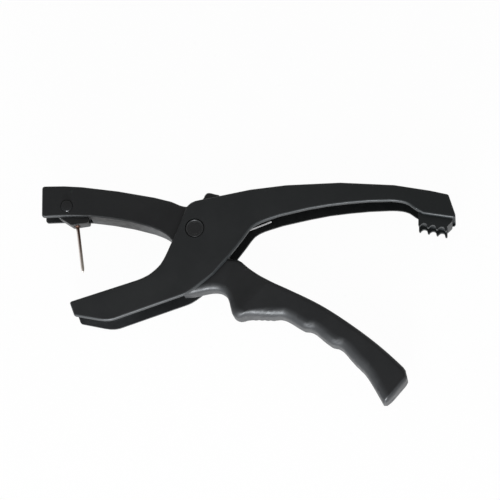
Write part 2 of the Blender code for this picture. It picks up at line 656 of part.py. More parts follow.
def lever_outline():
    """The side view of the upper jaw and the hub; the neck's edges are drawn by the grip's sections."""
    jaw = (0, UPPER_JAW_REACH, 0, UPPER_JAW_RISE)
    head = (0, HEAD_REACH, 0, HEAD_DROP)
    top = placed(UPPER_JAW_TOP_SHARES, *jaw)
    low = placed(UPPER_JAW_LOW_SHARES, *jaw)
    end_top, end_low = placed([UPPER_JAW_END_TOP_SHARE, UPPER_JAW_END_LOW_SHARE], *jaw)
    nose_box = (0, NOSE_REACH, 0, NOSE_RISE)
    nose = placed(NOSE_SHARES, *nose_box)
    foot = placed([NOSE_FOOT_SHARE], *nose_box)[0]
    hub = [polar(HUB_RADIUS, math.radians(angle)) for angle in (25, 5, -15)]
    outline = rounded(end_low, end_top, top[0], END_CORNER)
    outline += smooth_run(top + placed(HUB_TOP_SHARES, *nose_box))
    outline += smooth_run(nose)
    outline += [Vector((foot.x, nose[-1].y - LEVER_RIM))]
    outline += smooth_run([foot] + hub)
    outline += placed(NECK_CORE_SHARES, *head)
    outline += smooth_run(placed(NECK_LEFT_SHARES, *head) + list(reversed(low)))
    outline += rounded(low[0], end_low, end_top, END_CORNER)
    return outline


def finger_run():
    """The grip's lower edge: a scoop for each finger between neighbouring ridges."""
    ridges = placed(RIDGE_SHARES, 0, GRIP_REACH, 0, GRIP_DROP)
    run = [ridges[0]]
    for start, end, depth_share in zip(ridges, ridges[1:], FINGER_DEPTH_SHARES):
        along = (end - start).normalized()
        inward = Vector((-along.y, along.x))
        for step in range(1, FINGER_STEPS + 1):
            t = step / FINGER_STEPS
            scoop = FINGER_DEPTH * depth_share * math.sin(math.pi * t ** FINGER_SKEW)
            run.append(start.lerp(end, t) + inward * scoop)
    return run


def eased(share):
    share = min(max(share, 0.0), 1.0)
    return share * share * (3 - 2 * share)


def grip_section(top, low, width, top_round, low_round):
    """A ring of points round the grip: flat sides, slightly round above and well round below."""
    up = (top - low).normalized()
    height = (top - low).length
    half = width / 2
    arc = [math.pi / 2 * step / SECTION_STEPS for step in range(SECTION_STEPS + 1)]
    side = []
    for angle in arc:
        side.append((top_round * math.sin(angle) - top_round + height, half - top_round + top_round * math.cos(angle)))
    for angle in arc:
        side.append((low_round - low_round * math.sin(angle), half - low_round + low_round * math.cos(angle)))
    upper, lower = side[:len(arc)], side[len(arc):]
    loop = upper + [(rise, -across) for rise, across in reversed(upper)]
    loop += [(rise, -across) for rise, across in lower] + list(reversed(lower))
    points = []
    for rise, across in loop:
        spot = low + up * rise
        points.append(Vector((spot.x, spot.y, MID_PLANE + across)))
    return points


def make_grip():
    """The neck and the lower handle, lofted through sections from the arch to the grip's end."""
    grip = (0, GRIP_REACH, 0, GRIP_DROP)
    neck_low = smooth_run(placed(ARCH_SHARES, *grip), NECK_STEPS)
    neck_top = smooth_run(placed(NECK_TOP_SHARES, *grip), NECK_STEPS)
    lower = finger_run()
    upper = smooth_run(placed(GRIP_TOP_SHARES, *grip), FINGER_STEPS)
    end_face = lower[-1] - upper[-1]
    corner_arc = rounded(upper[-3], upper[-1], lower[-1], GRIP_END_CORNER, 4)[:3]
    arc_steps = len(corner_arc) - 1
    heel = [lower[-2].lerp(lower[-1], step / arc_steps) for step in range(arc_steps + 1)]
    upper = upper[:-2] + corner_arc
    lower = lower[:-2] + heel
    slim, full = NECK_GROWTH_SHARES
    rings = []
    for index, (top, low) in enumerate(zip(neck_top, neck_low)):
        growth = eased((index / (len(neck_low) - 1) - slim) / (full - slim))
        width = NECK_WIDTH + (GRIP_WIDTH - NECK_WIDTH) * growth
        low_round = NECK_LOW_ROUND + (GRIP_LOW_ROUND - NECK_LOW_ROUND) * growth
        rings.append(grip_section(top, low, width, GRIP_TOP_ROUND, low_round))
    for top, low in zip(upper[1:], lower[1:]):
        rings.append(grip_section(top, low, GRIP_WIDTH, GRIP_TOP_ROUND, GRIP_LOW_ROUND))
    outward = Vector((-end_face.y, end_face.x)).normalized()
    last = rings[-1]
    centre = sum(last, Vector()) / len(last)
    for shrink_share, bulge_share in GRIP_END_SHARES:
        push = outward * GRIP_END_BULGE * bulge_share
        rings.append([centre + (point - centre) * shrink_share + Vector((push.x, push.y, 0)) for point in last])
    bm = bmesh.new()
    loops = [[bm.verts.new(point) for point in points] for points in rings]
    count = len(loops[0])
    for near, far in zip(loops, loops[1:]):
        for index in range(count):
            following = (index + 1) % count
            bm.faces.new((near[index], near[following], far[following], far[index]))
    bm.faces.new(loops[0])
    bm.faces.new(loops[-1])
    return object_from("grip", bm, BLACK_LEVER)


def spring_slot_outline():
    """The slot that lets the spring's legs swing, from the coil's room to the neck's edge."""
    closed = FRAME_LEG_ANGLE - CLOSING_ANGLE
    clear = SPRING_WIRE / 2 + SPRING_SLOT_PLAY
    floor_turn = closed - math.radians(5) - math.pi / 2
    start = polar(SPRING_RADIUS + clear, floor_turn)
    run = polar(1, closed - math.radians(5))
    inner = [polar(SPRING_RADIUS - SPRING_WIRE / 4, math.radians(angle)) for angle in range(57, -94, -15)]
    return [start, start + run * HEAD_REACH, Vector((HEAD_REACH + clear, SPRING_RADIUS)),
            Vector((inner[0].x, SPRING_RADIUS))] + inner


def spring_room():
    """The low and high faces of the spring's room in the hub."""
    points = return_spring_points()
    heights = [point.z for point in points]
    clear = SPRING_WIRE / 2 + SPRING_SLOT_PLAY
    return min(heights) - clear, max(heights) + clear


def pocket_outline():
    """The upper jaw's pocket: open below and at the jaw's end."""
    left = -(UPPER_JAW_REACH + CUT_OVERRUN)
    carrier_reach = CARRIER_REACH * max(share_x for share_x, share_y in CARRIER_BACK_SHARES)
    right = -AXLE_REACH + carrier_reach + POCKET_END_PLAY
    roof = UPPER_JAW_RISE - POCKET_ROOF
    roof_right = Vector((right, roof))
    low = -CUT_OVERRUN
    outline = [Vector((left, low)), Vector((right, low))]
    outline += rounded((right, low), roof_right, (left, roof), BAY_CORNER)
    return outline + [Vector((left, roof))]


def make_inner_lever():
    lever = prism("inner_lever", lever_outline(), LEVER_LOW, LEVER_HIGH, BLACK_LEVER, rim=LEVER_RIM)
    join(lever, make_grip())
    cut(lever, bore("sleeve_bore", LEVER_BORE, -CUT_OVERRUN, TOOL_WIDTH + CUT_OVERRUN))
    low, high = spring_room()
    inner = LEVER_BORE + SPRING_SEAT_WALL
    outer = SPRING_RADIUS + SPRING_WIRE / 2 + SPRING_SLOT_PLAY
    room = turned("coil_room", [(inner, low), (outer, low), (outer, high), (inner, high)])
    join(room, prism("leg_slot", spring_slot_outline(), low, high))
    cut(lever, room)
    cut(lever, prism("pocket", pocket_outline(), LEVER_LOW + POCKET_WALL, LEVER_HIGH - POCKET_WALL))
    hole = AXLE_RADIUS + RUNNING_GAP
    front = LEVER_HIGH - AXLE_RECESS_DEPTH
    rear = LEVER_LOW + AXLE_RECESS_DEPTH
    profile = [(0, -CUT_OVERRUN), (AXLE_RECESS_RADIUS, -CUT_OVERRUN), (AXLE_RECESS_RADIUS, rear), (hole, rear),
               (hole, front), (AXLE_RECESS_RADIUS, front), (AXLE_RECESS_RADIUS, TOOL_WIDTH), (0, TOOL_WIDTH)]
    cut(lever, turned("axle_hole", profile, placement=Matrix.Translation((AXLE.x, AXLE.y, 0))))
    return lever


def make_sleeve():
    return ring("pivot_sleeve", PIVOT_BORE, SLEEVE_RADIUS, LEVER_LOW, LEVER_HIGH, STEEL)


# Axle of the pin carrier

def make_carrier_axle():
    """A pin with a domed head in the jaw's front recess, held by a push-on clip behind."""
    seat = LEVER_HIGH - AXLE_RECESS_DEPTH + RUNNING_GAP
    edge = seat + AXLE_RECESS_DEPTH / 3
    dome = [(AXLE_HEAD_RADIUS * math.cos(math.radians(angle)), edge + AXLE_HEAD_DOME * math.sin(math.radians(angle)))
            for angle in (0, 25, 50, 75)]
    profile = [(0, LEVER_LOW), (AXLE_RADIUS, LEVER_LOW), (AXLE_RADIUS, seat), (AXLE_HEAD_RADIUS, seat)]
    profile += dome + [(0, edge + AXLE_HEAD_DOME)]
    return turned("carrier_axle", profile, BLACK_STEEL, Matrix.Translation((AXLE.x, AXLE.y, 0)))


def make_axle_clip():
    low = LEVER_LOW + AXLE_RECESS_DEPTH - RUNNING_GAP - AXLE_CLIP_WALL
    inner = AXLE_RADIUS + RUNNING_GAP
    clip = turned("carrier_axle_clip", [(inner, low), (AXLE_HEAD_RADIUS, low),
                                        (AXLE_HEAD_RADIUS, low + AXLE_CLIP_WALL), (inner, low + AXLE_CLIP_WALL)],
                  STEEL, Matrix.Translation((AXLE.x, AXLE.y, 0)))
    return clip


# Pin carrier: modelled about its own axle, with its face down

def carrier_tilt():
    return Matrix.Rotation(CARRIER_TILT, 4, "Z")


def carrier_outline():
    """The carrier's side view: a slanted nose, a flat face for the tag and a round top."""
    box = (0, CARRIER_REACH, 0, -CARRIER_DROP)
    nose_top, face_left = placed(CARRIER_NOSE_SHARES, *box)
    back = placed(CARRIER_BACK_SHARES, *box)
    top = placed(CARRIER_TOP_SHARES, *box)
    outline = smooth_run(back[1:] + top + [nose_top])
    outline += rounded(nose_top, face_left, back[0], CARRIER_RIM * 2, 2)
    outline += rounded(face_left, back[0], back[1], CARRIER_RIM * 2, 2)
    return outline


def carrier_spring_points():
    """Two and a half turns on the axle, with one leg up to the roof and one to the carrier."""
    enter = CARRIER_LEG_ANGLE - math.pi / 2
    sweep = math.tau * (CARRIER_SPRING_WHOLE_TURNS + 0.5)
    height = (CARRIER_SPRING_WIRE + CARRIER_SPRING_TURN_GAP) * sweep / math.tau
    steps = round(sweep / math.radians(36))
    coil = [Vector((*polar(CARRIER_SPRING_RADIUS, enter - sweep * step / steps),
                    MID_PLANE + height / 2 - height * step / steps)) for step in range(steps + 1)]
    roof = UPPER_JAW_RISE - POCKET_ROOF - AXLE_RISE - RUNNING_GAP - CARRIER_SPRING_WIRE / 2
    run = polar(1, CARRIER_LEG_ANGLE)
    roof_tip = coil[0] + Vector((*(run * ((roof - coil[0].y) / run.y)), 0))
    carrier_tip = coil[-1] + Vector((*(run * CARRIER_SPRING_RADIUS), 0))
    return [roof_tip] + coil + [carrier_tip]


def carrier_slot():
    """The room for the carrier's spring: round the axle and open upwards."""
    heights = [point.z for point in carrier_spring_points()]
    clear = CARRIER_SPRING_WIRE / 2 + CARRIER_SLOT_PLAY
    radius = CARRIER_SPRING_RADIUS + clear
    lower = [polar(radius, math.radians(angle)) for angle in range(-180, 1, 20)]
    room = lower + [Vector((radius, CARRIER_REACH)), Vector((-CARRIER_REACH, CARRIER_REACH)),
                    Vector((-CARRIER_REACH, 0))]
    return prism("slot", room, min(heights) - clear, max(heights) + clear)


def lock_screw_placement():
    """Local Z along the lock screw, from the carrier's back towards the pin's stem."""
    height = -CARRIER_DROP + PIN_STEM_LENGTH / 2
    return carrier_tilt() @ Matrix.Translation((0, height, MID_PLANE)) @ Matrix.Rotation(math.pi / 2, 4, "Y")


def pin_placement():
    """Local Z along the pin, with its root at the carrier's face and its point away from it."""
    spot = Matrix.Translation((PIN_OFFSET, -CARRIER_DROP, MID_PLANE))
    return carrier_tilt() @ spot @ Matrix.Rotation(math.pi / 2, 4, "X")


def make_pin_carrier():
    low = MID_PLANE - CARRIER_WIDTH / 2
    high = MID_PLANE + CARRIER_WIDTH / 2
    carrier = prism("pin_carrier", carrier_outline(), low, high, BLACK_LEVER, rim=CARRIER_RIM,
                    placement=carrier_tilt())
    cut(carrier, carrier_slot())
    cut(carrier, bore("axle_bore", AXLE_RADIUS + RUNNING_GAP, low - CUT_OVERRUN, high + CUT_OVERRUN))
    stem_room = PIN_STEM_LENGTH + RUNNING_GAP
    cut(carrier, bore("stem_bore", PIN_STEM_RADIUS + RUNNING_GAP, -stem_room, CUT_OVERRUN,
                      placement=pin_placement()))
    screw_tip = PIN_OFFSET + PIN_STEM_RADIUS
    cut(carrier, bore("lock_bore", LOCK_SCREW_RADIUS + RUNNING_GAP, screw_tip, CARRIER_REACH + CUT_OVERRUN,
                      placement=lock_screw_placement()))
    return carrier


def make_applicator_pin():
    """A slender pointed pin with a collar under the carrier and a stem inside it."""
    root = PIN_COLLAR_LENGTH
    profile = [(0, -PIN_STEM_LENGTH), (PIN_STEM_RADIUS - RUNNING_GAP, -PIN_STEM_LENGTH),
               (PIN_STEM_RADIUS, -PIN_STEM_LENGTH + RUNNING_GAP), (PIN_STEM_RADIUS, 0),
               (PIN_COLLAR_RADIUS, RUNNING_GAP), (PIN_COLLAR_RADIUS, root / 2), (PIN_RADIUS, root),
               (PIN_RADIUS, PIN_LENGTH - PIN_POINT_LENGTH),
               (PIN_RADIUS * PIN_SHOULDER_SHARE, PIN_LENGTH - PIN_POINT_LENGTH / 2), (0, PIN_LENGTH)]
    return turned("applicator_pin", profile, PIN_METAL, pin_placement(), steps=16)


def make_lock_screw():
    """A socket set screw that bears on the pin's stem from the carrier's back."""
    start = PIN_OFFSET + PIN_STEM_RADIUS + RUNNING_GAP
    end = start + LOCK_SCREW_LENGTH
    chamfer = RUNNING_GAP
    screw = turned("pin_lock_screw", [(0, start), (LOCK_SCREW_RADIUS - chamfer, start),
                                      (LOCK_SCREW_RADIUS, start + chamfer), (LOCK_SCREW_RADIUS, end - chamfer),
                                      (LOCK_SCREW_RADIUS - chamfer, end), (0, end)],
                   BLACK_STEEL, lock_screw_placement(), steps=18)
    socket = [polar(LOCK_SCREW_SOCKET_RADIUS, math.radians(angle)) for angle in range(0, 360, 60)]
    cut(screw, prism("socket", socket, end - LOCK_SCREW_SOCKET_DEPTH, end + CUT_OVERRUN,
                     placement=lock_screw_placement()))
    return screw


def make_carrier_spring():
    points = carrier_spring_points()
    gap = least_turn_gap(points[1:-1], CARRIER_SPRING_WIRE, 10)
    print("carrier_spring least gap to itself, mm:", round(gap * 1000, 2))
    return wire("carrier_spring", points, CARRIER_SPRING_WIRE, STEEL)


# Tag seat parts on the lower jaw

def make_tag_anvil():
    """The hard plate that the tag's open half lies on, with a slot for the pin."""
    half = (BAY_HIGH - BAY_LOW) / 2 - RUNNING_GAP
    start = END_CORNER
    corners = [(start, -half), (ANVIL_LENGTH, -half), (ANVIL_LENGTH, half), (start, half)]
    outline = []
    for index, corner in enumerate(corners):
        outline += rounded(corners[index - 1], corner, corners[(index + 1) % 4], END_CORNER)
    low = -(ANVIL_RECESS + ANVIL_WALL)
    anvil = prism("tag_anvil", outline, low, -ANVIL_RECESS, STEEL, placement=seat_placement(0))
    slot = slot_outline(TAG_SLOT_WIDTH - 4 * RUNNING_GAP, TAG_SLOT_LENGTH - 2 * RUNNING_GAP, CUT_OVERRUN)
    cut(anvil, prism("anvil_slot", slot, low - CUT_OVERRUN, CUT_OVERRUN, placement=seat_placement(0)))
    for spot in screw_spots():
        cut(anvil, bore("anvil_hole", SCREW_RADIUS + RUNNING_GAP, low - CUT_OVERRUN, CUT_OVERRUN, spot,
                        seat_placement(0)))
    return anvil


def clip_height():
    """The height of the clip's upper face below the jaw's edge."""
    return -(ANVIL_RECESS + ANVIL_WALL + RUNNING_GAP + SEAT_WALL + RUNNING_GAP)


def make_tag_clip():
    """A forked leaf under the seat: flat at its screws, dipping and curling up at its prongs."""
    upper = [Vector((CLIP_LENGTH, 0))]
    upper += smooth_run(placed(CLIP_DIP_SHARES, 0, TAG_SLOT_LENGTH, 0, -CLIP_DIP))
    lower = [point - Vector((0, CLIP_WALL)) for point in reversed(upper)]
    half = CLIP_WIDTH / 2
    turn = Matrix.Rotation(math.pi / 2, 4, "X")
    place = seat_placement(clip_height()) @ turn
    clip = prism("tag_clip", upper + lower, -half, half, STEEL, placement=place)
    slot = slot_outline(CLIP_SLOT_WIDTH, TAG_SLOT_LENGTH - CLIP_WALL, CUT_OVERRUN)
    cut(clip, prism("clip_slot", slot, -CUT_OVERRUN, CUT_OVERRUN, placement=seat_placement(clip_height())))
    for spot in screw_spots():
        cut(clip, bore("clip_hole", SCREW_RADIUS + RUNNING_GAP, -CUT_OVERRUN, CUT_OVERRUN, spot,
                       seat_placement(clip_height())))
    return clip


def make_clip_screws():
    """Two round-headed screws up through the clip and the seat into the anvil."""
    head_top = clip_height() - CLIP_WALL - RUNNING_GAP
    head_low = head_top - SCREW_HEAD_HEIGHT
    shank_end = -ANVIL_RECESS - RUNNING_GAP
    dome = [(SCREW_HEAD_RADIUS * math.cos(math.radians(angle)),
             head_top - SCREW_HEAD_HEIGHT / 3 - SCREW_HEAD_HEIGHT * 2 / 3 * math.sin(math.radians(angle)))
            for angle in (60, 30, 0)]
    profile = [(0, head_low), (SCREW_SOCKET_RADIUS, head_low)] + dome
    profile += [(SCREW_HEAD_RADIUS, head_top), (SCREW_RADIUS, head_top), (SCREW_RADIUS, shank_end), (0, shank_end)]
    socket = [polar(SCREW_SOCKET_RADIUS - RUNNING_GAP / 3, math.radians(angle)) for angle in range(0, 360, 60)]
    screws = []
    for number, spot in enumerate(screw_spots(), start=1):
        place = seat_placement(0) @ Matrix.Translation((spot[0], spot[1], 0))
        screw = turned(f"tag_clip_screw_{number}", profile, BLACK_STEEL, place, steps=20)
        cut(screw, prism("socket", socket, head_low - CUT_OVERRUN, head_low + SCREW_SOCKET_DEPTH, placement=place))
        screws.append(screw)
    return screws


clear_scene()
frame_origin = empty("frame_body", (0, 0, 0))
lever_pivot = empty("lever_pivot", (0, 0, 0), frame_origin)
carrier_hinge = empty("carrier_hinge", (AXLE.x, AXLE.y, 0), lever_pivot)

frame_pieces = [make_outer_frame(), make_stop_comb(), make_tag_anvil(), make_tag_clip(), *make_clip_screws(),
                make_pivot_pin(), make_circlip(), *make_thrust_washers(), make_return_spring()]
lever_pieces = [make_inner_lever(), make_sleeve(), make_carrier_axle(), make_axle_clip()]
carrier_pieces = [make_pin_carrier(), make_applicator_pin(), make_lock_screw(), make_carrier_spring()]
for piece in frame_pieces:
    hang(piece, frame_origin)
for piece in lever_pieces:
    hang(piece, lever_pivot)
for piece in carrier_pieces:
    hang(piece, carrier_hinge)
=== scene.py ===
import json
import math

import bmesh
import bpy
from mathutils import Matrix, Vector


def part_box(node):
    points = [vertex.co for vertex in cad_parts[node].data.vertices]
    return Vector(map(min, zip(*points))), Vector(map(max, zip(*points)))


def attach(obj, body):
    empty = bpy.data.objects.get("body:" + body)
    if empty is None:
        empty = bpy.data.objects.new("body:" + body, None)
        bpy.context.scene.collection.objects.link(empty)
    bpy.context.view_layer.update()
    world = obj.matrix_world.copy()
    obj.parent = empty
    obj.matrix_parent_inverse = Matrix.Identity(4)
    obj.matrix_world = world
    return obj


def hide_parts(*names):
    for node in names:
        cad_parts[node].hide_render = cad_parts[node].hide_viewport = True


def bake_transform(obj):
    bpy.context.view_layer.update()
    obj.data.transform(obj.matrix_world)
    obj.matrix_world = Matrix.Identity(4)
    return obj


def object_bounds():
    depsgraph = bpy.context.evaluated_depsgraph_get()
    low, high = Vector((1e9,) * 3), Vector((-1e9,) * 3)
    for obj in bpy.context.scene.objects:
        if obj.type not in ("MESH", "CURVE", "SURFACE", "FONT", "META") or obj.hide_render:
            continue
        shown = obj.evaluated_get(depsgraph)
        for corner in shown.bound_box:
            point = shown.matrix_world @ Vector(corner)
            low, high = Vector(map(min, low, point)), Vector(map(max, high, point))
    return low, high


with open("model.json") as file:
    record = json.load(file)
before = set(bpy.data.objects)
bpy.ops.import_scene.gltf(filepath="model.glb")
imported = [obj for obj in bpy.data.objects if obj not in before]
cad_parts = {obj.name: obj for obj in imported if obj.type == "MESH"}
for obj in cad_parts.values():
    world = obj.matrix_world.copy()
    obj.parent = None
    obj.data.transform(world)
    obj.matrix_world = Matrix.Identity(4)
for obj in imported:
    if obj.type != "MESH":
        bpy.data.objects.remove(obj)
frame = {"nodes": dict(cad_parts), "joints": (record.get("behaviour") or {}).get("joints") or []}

# Ear tag applicator: fine shapes, finish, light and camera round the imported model, in metres.
# X runs towards the handles' ends, Y towards the upper handle and Z through the tool's width.

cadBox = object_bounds()
toolWidth = round(cadBox[1][2], 4)
midHeight = toolWidth / 2
leverLow = 0.0043  # the rear side of the lever's jaw and hub
leverHigh = toolWidth - leverLow  # and their front side
flipJoint = next(joint for joint in frame["joints"] if joint["name"] == "carrier_flip")
axlePoint = Vector((*flipJoint["pos_m"][:2], 0.0))
gap = 0.0003  # room between pieces that slide on each other
edgeRound = 0.0002
sameSpot = 0.000002  # corners nearer than this become one
sameTurn = math.radians(0.4)  # faces that turn less than this become one


# Node groups shared by the finishes

surfaceInputs = [("Vector", "NodeSocketVector"), ("Dark", "NodeSocketColor"),
                 ("Light", "NodeSocketColor"), ("Gloss Low", "NodeSocketFloat"),
                 ("Gloss High", "NodeSocketFloat")]
surfaceOutputs = [("Color", "NodeSocketColor"), ("Roughness", "NodeSocketFloat"),
                  ("Height", "NodeSocketFloat")]
noiseRoughness = 0.55


def groupWith(name, inputs, outputs):
    group = bpy.data.node_groups.new(name, "ShaderNodeTree")
    for side, sockets in (("INPUT", inputs), ("OUTPUT", outputs)):
        for label, kind in sockets:
            group.interface.new_socket(name=label, in_out=side, socket_type=kind)
    return group, group.nodes.new("NodeGroupInput"), group.nodes.new("NodeGroupOutput")


def feed(tree, socket, value):
    # a socket takes a number, a colour or what another node puts out
    if isinstance(value, (int, float)):
        socket.default_value = value
    elif isinstance(value, tuple):
        socket.default_value = (*value, 1.0)
    else:
        tree.links.new(value, socket)


def giveOut(group, result, values):
    for label, value in values.items():
        group.links.new(value, result.inputs[label])


def noiseNode(tree, vector, scale, detail):
    node = tree.nodes.new("ShaderNodeTexNoise")
    node.inputs["Detail"].default_value = detail
    node.inputs["Roughness"].default_value = noiseRoughness
    feed(tree, node.inputs["Scale"], scale)
    feed(tree, node.inputs["Vector"], vector)
    return node.outputs["Fac"]


def rangeNode(tree, value, low, high, newLow, newHigh):
    node = tree.nodes.new("ShaderNodeMapRange")
    node.clamp = True
    node.interpolation_type = "SMOOTHSTEP"
    numbers = {"From Min": low, "From Max": high, "To Min": newLow, "To Max": newHigh}
    for label, number in numbers.items():
        feed(tree, node.inputs[label], number)
    feed(tree, node.inputs["Value"], value)
    return node.outputs["Result"]


def mathNode(tree, operation, first, second):
    node = tree.nodes.new("ShaderNodeMath")
    node.operation = operation
    for socket, value in zip(node.inputs, (first, second)):
        feed(tree, socket, value)
    return node.outputs[0]


def mixColour(tree, factor, first, second):
    node = tree.nodes.new("ShaderNodeMix")
    node.data_type = "RGBA"
    sockets = {socket.name: socket for socket in node.inputs if socket.enabled}
    for label, value in (("Factor", factor), ("A", first), ("B", second)):
        feed(tree, sockets[label], value)
    return next(socket for socket in node.outputs if socket.enabled)


def axisPart(tree, vector, axis):
    parts = tree.nodes.new("ShaderNodeSeparateXYZ")
    tree.links.new(vector, parts.inputs["Vector"])
    return parts.outputs[axis]


mouldGrain = {"cloudScale": 45.0, "cloudDetail": 3.0, "cloudLow": 0.3, "cloudHigh": 0.7,
              "swirlScale": 260.0, "swirlDetail": 4.0, "swirlLow": 0.35, "swirlHigh": 0.65,
              "swirlHeight": 0.35, "grainDetail": 2.0, "bumpStrength": 0.6}


def mouldSkinGroup(look):
    # fine grain from the mould, slow clouds in the colour and swirls in the gloss
    inputs = surfaceInputs + [("Grain Scale", "NodeSocketFloat")]
    group, given, result = groupWith("mouldSkin", inputs, surfaceOutputs)
    vector = given.outputs["Vector"]
    clouds = noiseNode(group, vector, look["cloudScale"], look["cloudDetail"])
    grain = noiseNode(group, vector, given.outputs["Grain Scale"], look["grainDetail"])
    swirl = noiseNode(group, vector, look["swirlScale"], look["swirlDetail"])
    cloudShare = rangeNode(group, clouds, look["cloudLow"], look["cloudHigh"], 0.0, 1.0)
    colour = mixColour(group, cloudShare, given.outputs["Dark"], given.outputs["Light"])
    glossShare = rangeNode(group, swirl, look["swirlLow"], look["swirlHigh"], 0.0, 1.0)
    ends = (given.outputs["Gloss Low"], given.outputs["Gloss High"])
    gloss = rangeNode(group, glossShare, 0.0, 1.0, *ends)
    height = mathNode(group, "ADD", grain, mathNode(group, "MULTIPLY", swirl, look["swirlHeight"]))
    giveOut(group, result, {"Color": colour, "Roughness": gloss, "Height": height})
    return group


edgeRub = {"reach": 0.0006, "samples": 4, "leanLow": 0.80, "leanHigh": 0.99, "patchScale": 420.0,
           "patchDetail": 3.0, "patchLow": 0.35, "patchHigh": 0.6, "patchLeast": 0.25}


def edgeWearGroup(look):
    # how much an edge is rubbed: the rounded normal leans away from the face near an edge
    inputs = [("Vector", "NodeSocketVector"), ("Amount", "NodeSocketFloat")]
    group, given, result = groupWith("edgeWear", inputs, [("Mask", "NodeSocketFloat")])
    rounded = group.nodes.new("ShaderNodeBevel")
    rounded.samples = look["samples"]
    rounded.inputs["Radius"].default_value = look["reach"]
    surface = group.nodes.new("ShaderNodeNewGeometry")
    lean = group.nodes.new("ShaderNodeVectorMath")
    lean.operation = "DOT_PRODUCT"
    group.links.new(rounded.outputs["Normal"], lean.inputs[0])
    group.links.new(surface.outputs["Normal"], lean.inputs[1])
    patches = noiseNode(group, given.outputs["Vector"], look["patchScale"], look["patchDetail"])
    edge = rangeNode(group, lean.outputs["Value"], look["leanLow"], look["leanHigh"], 1.0, 0.0)
    broken = rangeNode(group, patches, look["patchLow"], look["patchHigh"], look["patchLeast"], 1.0)
    worn = mathNode(group, "MULTIPLY", edge, broken)
    giveOut(group, result, {"Mask": mathNode(group, "MULTIPLY", worn, given.outputs["Amount"])})
    return group


metalGrain = {"streakScale": 900.0, "streakDetail": 3.0, "stainScale": 120.0, "stainDetail": 4.0,
              "low": 0.3, "high": 0.7, "bumpStrength": 0.3}


def drawnMetalGroup(look):
    # fine streaks from drawing or grinding, and slow stains in the gloss
    group, given, result = groupWith("drawnMetal", surfaceInputs, surfaceOutputs)
    vector = given.outputs["Vector"]
    streaks = noiseNode(group, vector, look["streakScale"], look["streakDetail"])
    stains = noiseNode(group, vector, look["stainScale"], look["stainDetail"])
    share = rangeNode(group, streaks, look["low"], look["high"], 0.0, 1.0)
    colour = mixColour(group, share, given.outputs["Dark"], given.outputs["Light"])
    ends = (given.outputs["Gloss Low"], given.outputs["Gloss High"])
    gloss = rangeNode(group, stains, look["low"], look["high"], *ends)
    giveOut(group, result, {"Color": colour, "Roughness": gloss, "Height": streaks})
    return group


mouldSkin = mouldSkinGroup(mouldGrain)
edgeWear = edgeWearGroup(edgeRub)
drawnMetal = drawnMetalGroup(metalGrain)


def emptyMaterial(name):
    material = bpy.data.materials.new(name)
    material.use_nodes = True
    tree = material.node_tree
    shader = tree.nodes["Principled BSDF"]
    place = tree.nodes.new("ShaderNodeTexCoord")
    return material, tree, shader, place.outputs["Object"]


def placeGroup(tree, group, vector, values):
    node = tree.nodes.new("ShaderNodeGroup")
    node.node_tree = group
    tree.links.new(vector, node.inputs["Vector"])
    for label, value in values.items():
        feed(tree, node.inputs[label], value)
    return node


def bumpFrom(tree, height, distance, strength, shader):
    bump = tree.nodes.new("ShaderNodeBump")
    bump.inputs["Distance"].default_value = distance
    bump.inputs["Strength"].default_value = strength
    tree.links.new(height, bump.inputs["Height"])
    tree.links.new(bump.outputs["Normal"], shader.inputs["Normal"])


# Finishes

def surfaceValues(look):
    # what both skins take from a finish
    return {"Dark": look["dark"], "Light": look["light"],
            "Gloss Low": look["glossLow"], "Gloss High": look["glossHigh"]}


def mouldedFinish(name, look):
    # a grained skin with painted shade that darkens its tone towards one end, paler and smoother where
    # its edges are rubbed
    material, tree, shader, vector = emptyMaterial(name)
    values = {**surfaceValues(look), "Grain Scale": look["grainScale"]}
    skin = placeGroup(tree, mouldSkin, vector, values)
    wear = placeGroup(tree, edgeWear, vector, {"Amount": look["wear"]})
    along = axisPart(tree, vector, "X")
    # painted shade: the tone darkens along X towards the painted shade colour
    paintedShadeShare = rangeNode(tree, along, look["paintedShadeStart"], look["paintedShadeEnd"], 0.0, 1.0)
    colour = mixColour(tree, paintedShadeShare, skin.outputs["Color"], look["paintedShade"])
    colour = mixColour(tree, wear.outputs["Mask"], colour, look["rubbed"])
    polish = mathNode(tree, "MULTIPLY", wear.outputs["Mask"], look["polish"])
    gloss = mathNode(tree, "SUBTRACT", skin.outputs["Roughness"], polish)
    tree.links.new(colour, shader.inputs["Base Color"])
    tree.links.new(gloss, shader.inputs["Roughness"])
    shader.inputs["Specular IOR Level"].default_value = look["specular"]
    bumpFrom(tree, skin.outputs["Height"], look["grainDepth"], mouldGrain["bumpStrength"], shader)
    return material


def metalSkin(tree, shader, vector, look):
    # gives a shader the gloss and streaks of drawn metal, and hands back its colour
    metal = placeGroup(tree, drawnMetal, vector, surfaceValues(look))
    tree.links.new(metal.outputs["Roughness"], shader.inputs["Roughness"])
    shader.inputs["Metallic"].default_value = 1.0
    bumpFrom(tree, metal.outputs["Height"], look["streakDepth"], metalGrain["bumpStrength"], shader)
    return metal.outputs["Color"]


def metalFinish(name, look):
    # bright metal with its streaks drawn out along X
    material, tree, shader, vector = emptyMaterial(name)
    stretch = tree.nodes.new("ShaderNodeMapping")
    stretch.inputs["Scale"].default_value = look["stretch"]
    tree.links.new(vector, stretch.inputs["Vector"])
    colour = metalSkin(tree, shader, stretch.outputs["Vector"], look)
    tree.links.new(colour, shader.inputs["Base Color"])
    return material


